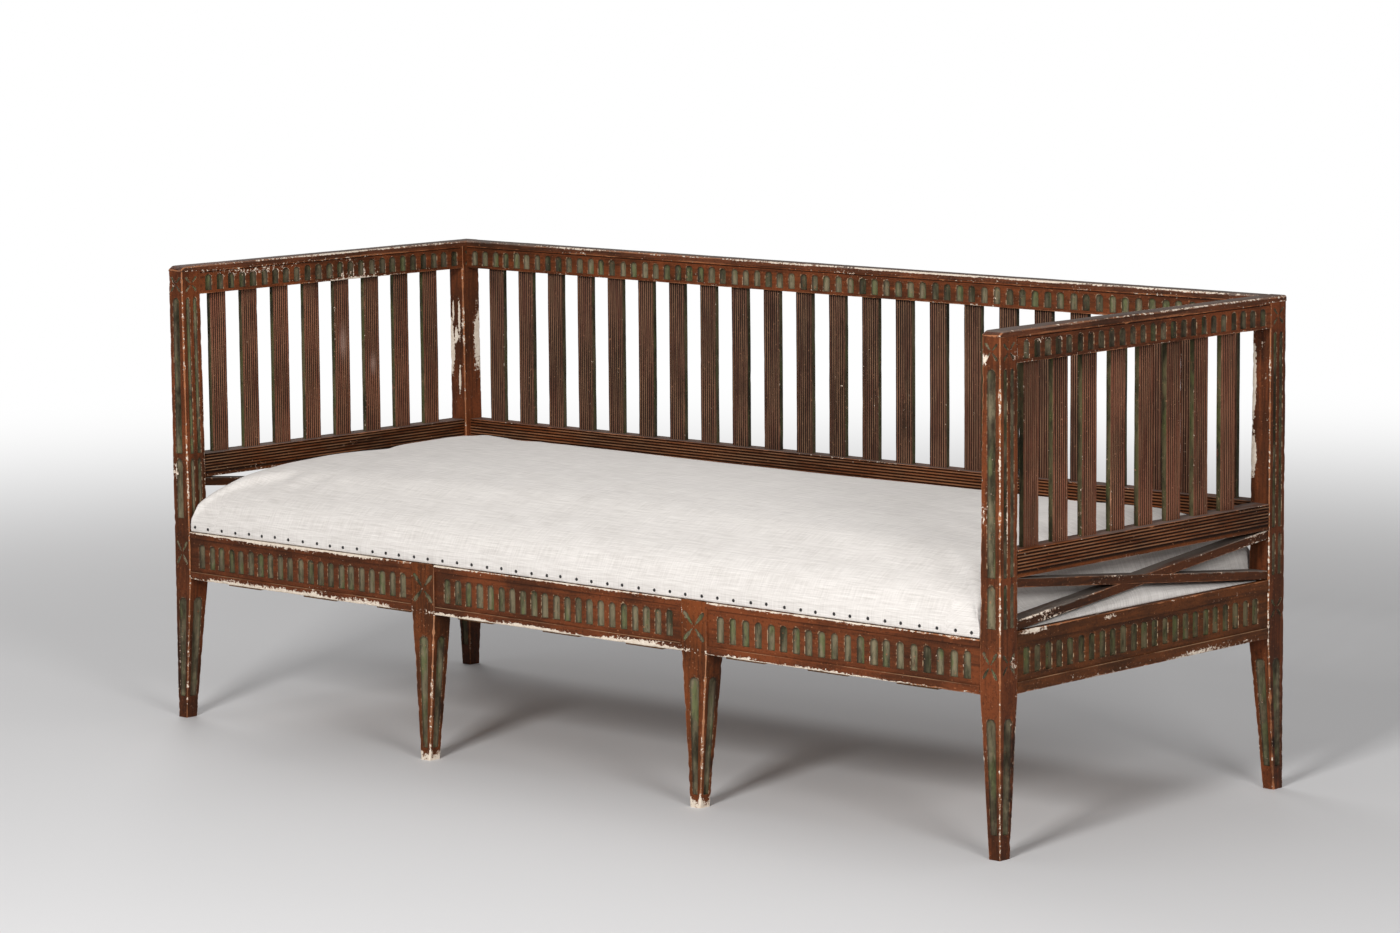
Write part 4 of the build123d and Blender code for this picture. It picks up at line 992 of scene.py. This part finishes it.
def eased(a, b, count, rounds):
    """A broken line through the points, its corners rounded by averaging neighbours many times."""
    reach = np.concatenate([[0], np.cumsum(np.hypot(np.diff(a), np.diff(b)))])
    fine = np.linspace(0, reach[-1], count * 4)
    a, b = np.interp(fine, reach, a), np.interp(fine, reach, b)
    for _ in range(rounds):
        for line in (a, b):
            line[1:-1] = (line[:-2] + 2 * line[1:-1] + line[2:]) / 4
    at = np.linspace(0, len(fine) - 1, count).astype(int)
    return a[at], b[at]


def underside_of_bars(y):
    """The crossed bars leave a low triangle of room that is highest midway along the arm."""
    return side_rail_top + (bar_high - bar_tall - side_rail_top) / 2 * (1 - np.abs(y) / arm_half)


# the upper sheet: the profile from front to back, lowered towards both ends by a rounded minimum
ring_y, ring_z = eased(profile_y, profile_z, 110, 60)
near = np.abs(np.abs(ring_y) - corner_y) < 0.0030
ring_y[near] = np.sign(ring_y[near]) * (corner_y + np.where(np.abs(ring_y[near]) > corner_y, 0.0012, -0.0012))
x_near = np.array([*np.linspace(0, 0.86, 84), *np.linspace(0.868, 0.9300, 10), corner_x, 0.9350, 0.9379,
                   0.9386, 0.9440, 0.9500, 0.9560, 0.9610, 0.9645, pad_end])
line_x = np.concatenate([-x_near[:0:-1], x_near])[:, None]
end_lift = np.interp(np.abs(line_x), *eased(end_x, end_rise, 400, 200))
lift = np.maximum(ring_z - board_top, 1e-4)
joined = (lift ** -4.0 + end_lift ** -4.0) ** -0.25
top_z = np.where(ring_z > board_top, board_top + joined, ring_z)
# the laps over the side rails stay under the bars
across_lap = np.clip((np.abs(line_x) - bar_side) / (pad_end - bar_side), 0, 1)
lap_room = underside_of_bars(ring_y) - 0.0022 - lap_low
lap_z = lap_low + np.maximum(lap_room, 0.0022) * np.sqrt(np.clip(1 - across_lap ** 2.5, 0.02, 1))
beyond = np.abs(line_x) > bar_side
top_z = np.where(beyond, np.minimum(lap_z, top_z), top_z)
# the lower sheet lies on the seat board and, past it, on the side rails
rows, columns = top_z.shape
under_y = np.interp(np.arange(columns), [0, 12, columns - 12, columns - 1],
                    [-0.3781, -0.3700, 0.3560, pad_back - 0.0005])
under_z = np.where(beyond | (np.abs(line_x) > corner_x + 0.0005), lap_low, board_top)
under_z = np.broadcast_to(under_z, top_z.shape).copy()
under_z[:, 0] = pad_low
sheets = [np.stack(np.broadcast_arrays(line_x, y, z), -1).reshape(-1, 3)
          for y, z in ((ring_y, top_z), (under_y, under_z))]

middle_x = np.abs(line_x[1:] + line_x[:-1]) / 2
middle_y = np.abs(ring_y[1:] + ring_y[:-1]) / 2
filled = ~((middle_x > corner_x) & (middle_y > corner_y))
top_index = np.arange(rows * columns).reshape(rows, columns)
here, east, north, both = top_index[:-1, :-1], top_index[1:, :-1], top_index[:-1, 1:], top_index[1:, 1:]
below = rows * columns


def quads(cells, *corners):
    """Corner indices of the chosen cells, as rows of four."""
    return np.stack([corner[cells] for corner in corners], -1)


def walls(neighbour, a, b):
    """Faces from the upper sheet down to the lower one, where the neighbour cell is empty."""
    return quads(filled & ~neighbour, a, b, b + below, a + below)


padded = np.pad(filled, 1)
faces = np.concatenate([
    quads(filled, here, east, both, north),
    quads(filled, here + below, north + below, both + below, east + below),
    walls(padded[:-2, 1:-1], here, north), walls(padded[2:, 1:-1], both, east),
    walls(padded[1:-1, :-2], east, here), walls(padded[1:-1, 2:], north, both)])
used, faces = np.unique(faces, return_inverse=True)
faces = faces.reshape(-1, 4)
slack = np.concatenate(sheets)[used]
is_top = used < below
pad = add_mesh("linen_seat", slack.tolist(), faces.tolist(), linen)
# the weave runs on over the front edge and both ends as the cloth does
hanging = np.clip(0.47 - slack[:, 2], 0, 1) * (np.abs(slack[:, 0]) > 0.86)
weave_u = slack[:, 0] + np.sign(slack[:, 0]) * hanging
weave_v = slack[:, 1] + (slack[:, 2] - 0.47) * (slack[:, 1] < -0.2)
weave = pad.data.attributes.new("weave", "FLOAT_VECTOR", "POINT")
weave.data.foreach_set("vector", np.stack([weave_u, weave_v, 0 * weave_u], -1).astype(np.float32).ravel())


def kept_clear(points):
    """Linen stops at posts, rails and bars: each point moves back to the nearest free side."""
    x, y, z = points.T
    reach = np.abs(x)
    reach = np.where((reach > bar_side) & (z > underside_of_bars(y) - 0.0012), bar_side, reach)
    reach = np.where(np.abs(y) > corner_y + 0.0008, np.minimum(reach, corner_x + 0.0010), reach)
    reach = np.minimum(reach, pad_end + 0.0010)
    y = np.where(z > lower_rail_bottom - 0.0012, np.minimum(y, half_depth - back_thick - 0.0008), y)
    y = np.clip(y, -half_depth + 0.0010, 0.3668)
    lowest = np.where(y < -0.3780, front_top + 0.0005, board_top - 0.0002 - 0.0066 * (reach > corner_x))
    return np.stack([np.sign(x) * reach, y, np.maximum(z, lowest)], -1)


def puffed(piece, start, held, pressure, limit):
    """Cloth under air pressure: twenty steps, then each point's move is cut to the limit."""
    group = piece.vertex_groups.new(name="held")
    group.add(np.nonzero(held)[0].tolist(), 1.0, "REPLACE")
    cloth = piece.modifiers.new("Cloth", "CLOTH")
    settings = {"quality": 5, "mass": 0.25, "tension_stiffness": 22, "compression_stiffness": 22,
                "bending_stiffness": 6, "use_pressure": True, "uniform_pressure_force": pressure,
                "vertex_group_mass": "held"}
    for key, value in settings.items():
        setattr(cloth.settings, key, value)
    cloth.settings.effector_weights.gravity = 0
    cloth.point_cache.frame_start = 1
    cloth.point_cache.frame_end = 20
    scene = bpy.context.scene
    for number in range(1, 21):
        scene.frame_set(number)
    solved = piece.evaluated_get(bpy.context.evaluated_depsgraph_get()).to_mesh()
    moved = np.empty(len(start) * 3)
    solved.vertices.foreach_get("co", moved)
    piece.modifiers.remove(cloth)
    scene.frame_set(1)
    shift = moved.reshape(-1, 3) - start
    length = np.linalg.norm(shift, axis=1, keepdims=True)
    return start + shift * np.minimum(1, limit / np.maximum(length, 1e-9))


tack_count, tack_pitch, tack_height = 52, 0.036, 0.3595
draw = np.random.default_rng(5)
tack_x = even_row(tack_count, tack_pitch) + draw.normal(0, 0.0016, tack_count)
tack_z = tack_height + draw.normal(0, 0.0007, tack_count)
settled = slack.copy()
fixed = ~is_top | (slack[:, 2] < 0.3650) | (np.abs(slack[:, 0]) > bar_side - 0.0001)
loose = np.clip((slack[:, 2:] - 0.3660) / 0.034, 0, 1)
settled += (puffed(pad, slack, fixed, 4.0, 0.010) - slack) * loose ** 2 * (3 - 2 * loose)
# the cloth is drawn in a little between two tacks and stands proud at each
on_front = np.exp(-np.clip(settled[:, 2] - tack_height, 0, 1) / 0.014) * (settled[:, 1] < -0.33) * is_top
gap = np.abs(settled[:, :1] - tack_x).min(axis=1)
settled[:, 1] += on_front * np.exp(-(gap / 0.0070) ** 2) * 0.0008
pad.data.vertices.foreach_set("co", kept_clear(settled).astype(np.float32).ravel())
finer = pad.modifiers.new("finer", "SUBSURF")
finer.levels = finer.render_levels = 1
stands_for(pad, "seat_cushion")

# ---------------------------------------------------------------------------------------------
# Tacks: small black forged heads, driven in a row along the front edge of the linen.
# Each is a low dome of eight sides: rings that shrink towards the top by a quarter circle.

tack_radius, tack_rise, tack_sides = 0.0031, 0.0014, 8
iron, _, _ = surface("black_iron", Base_Color=linear(20, 18, 18), Roughness=0.6)
around = np.arange(tack_sides) * 2 * np.pi / tack_sides
climb = np.radians([[0], [35], [65]])
dome = np.stack(np.broadcast_arrays(tack_radius * np.cos(climb) * np.cos(around), -tack_rise * np.sin(climb),
                                    tack_radius * np.cos(climb) * np.sin(around)), -1)
dome = np.concatenate([dome.reshape(-1, 3), [[0, -tack_rise, 0]]])
places = np.stack([tack_x, np.full(tack_count, pad_front + 0.0003), tack_z], -1)
ring_quads = [(a + k, a + (k + 1) % 8, a + (k + 1) % 8 + 8, a + k + 8) for a in (0, 8) for k in range(8)]
head = [*ring_quads, *[(16 + k, 16 + (k + 1) % 8, 24) for k in range(8)], tuple(range(7, -1, -1))]
polygons = [tuple(corner + len(dome) * k for corner in face) for k in range(tack_count) for face in head]
tacks = add_mesh("tack_heads", (places[:, None, :] + dome).reshape(-1, 3).tolist(), polygons, iron)
stands_for(tacks, "tacks")

# ---------------------------------------------------------------------------------------------
# Hidden pine: seat board, ledgers, bearer, and the two combs of bed boards, all unpainted.
# They are the drawn solids themselves in a wood finish.

pine_grain = {"x": ["seat_board", "fixed_bearer", "back_ledger", "sliding_batten"],
              "y": ["left_ledger", "right_ledger", "fixed_boards", "sliding_boards"]}
for along, nodes in pine_grain.items():
    pine = old_paint(f"bare_pine_{along}", along, body=(150, 112, 76), deep=(112, 80, 52), line=(84, 58, 38),
                     gloss=0.7, chips=0.0)
    for node in nodes:
        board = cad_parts[node]
        board.data.materials.clear()
        board.data.materials.append(pine)
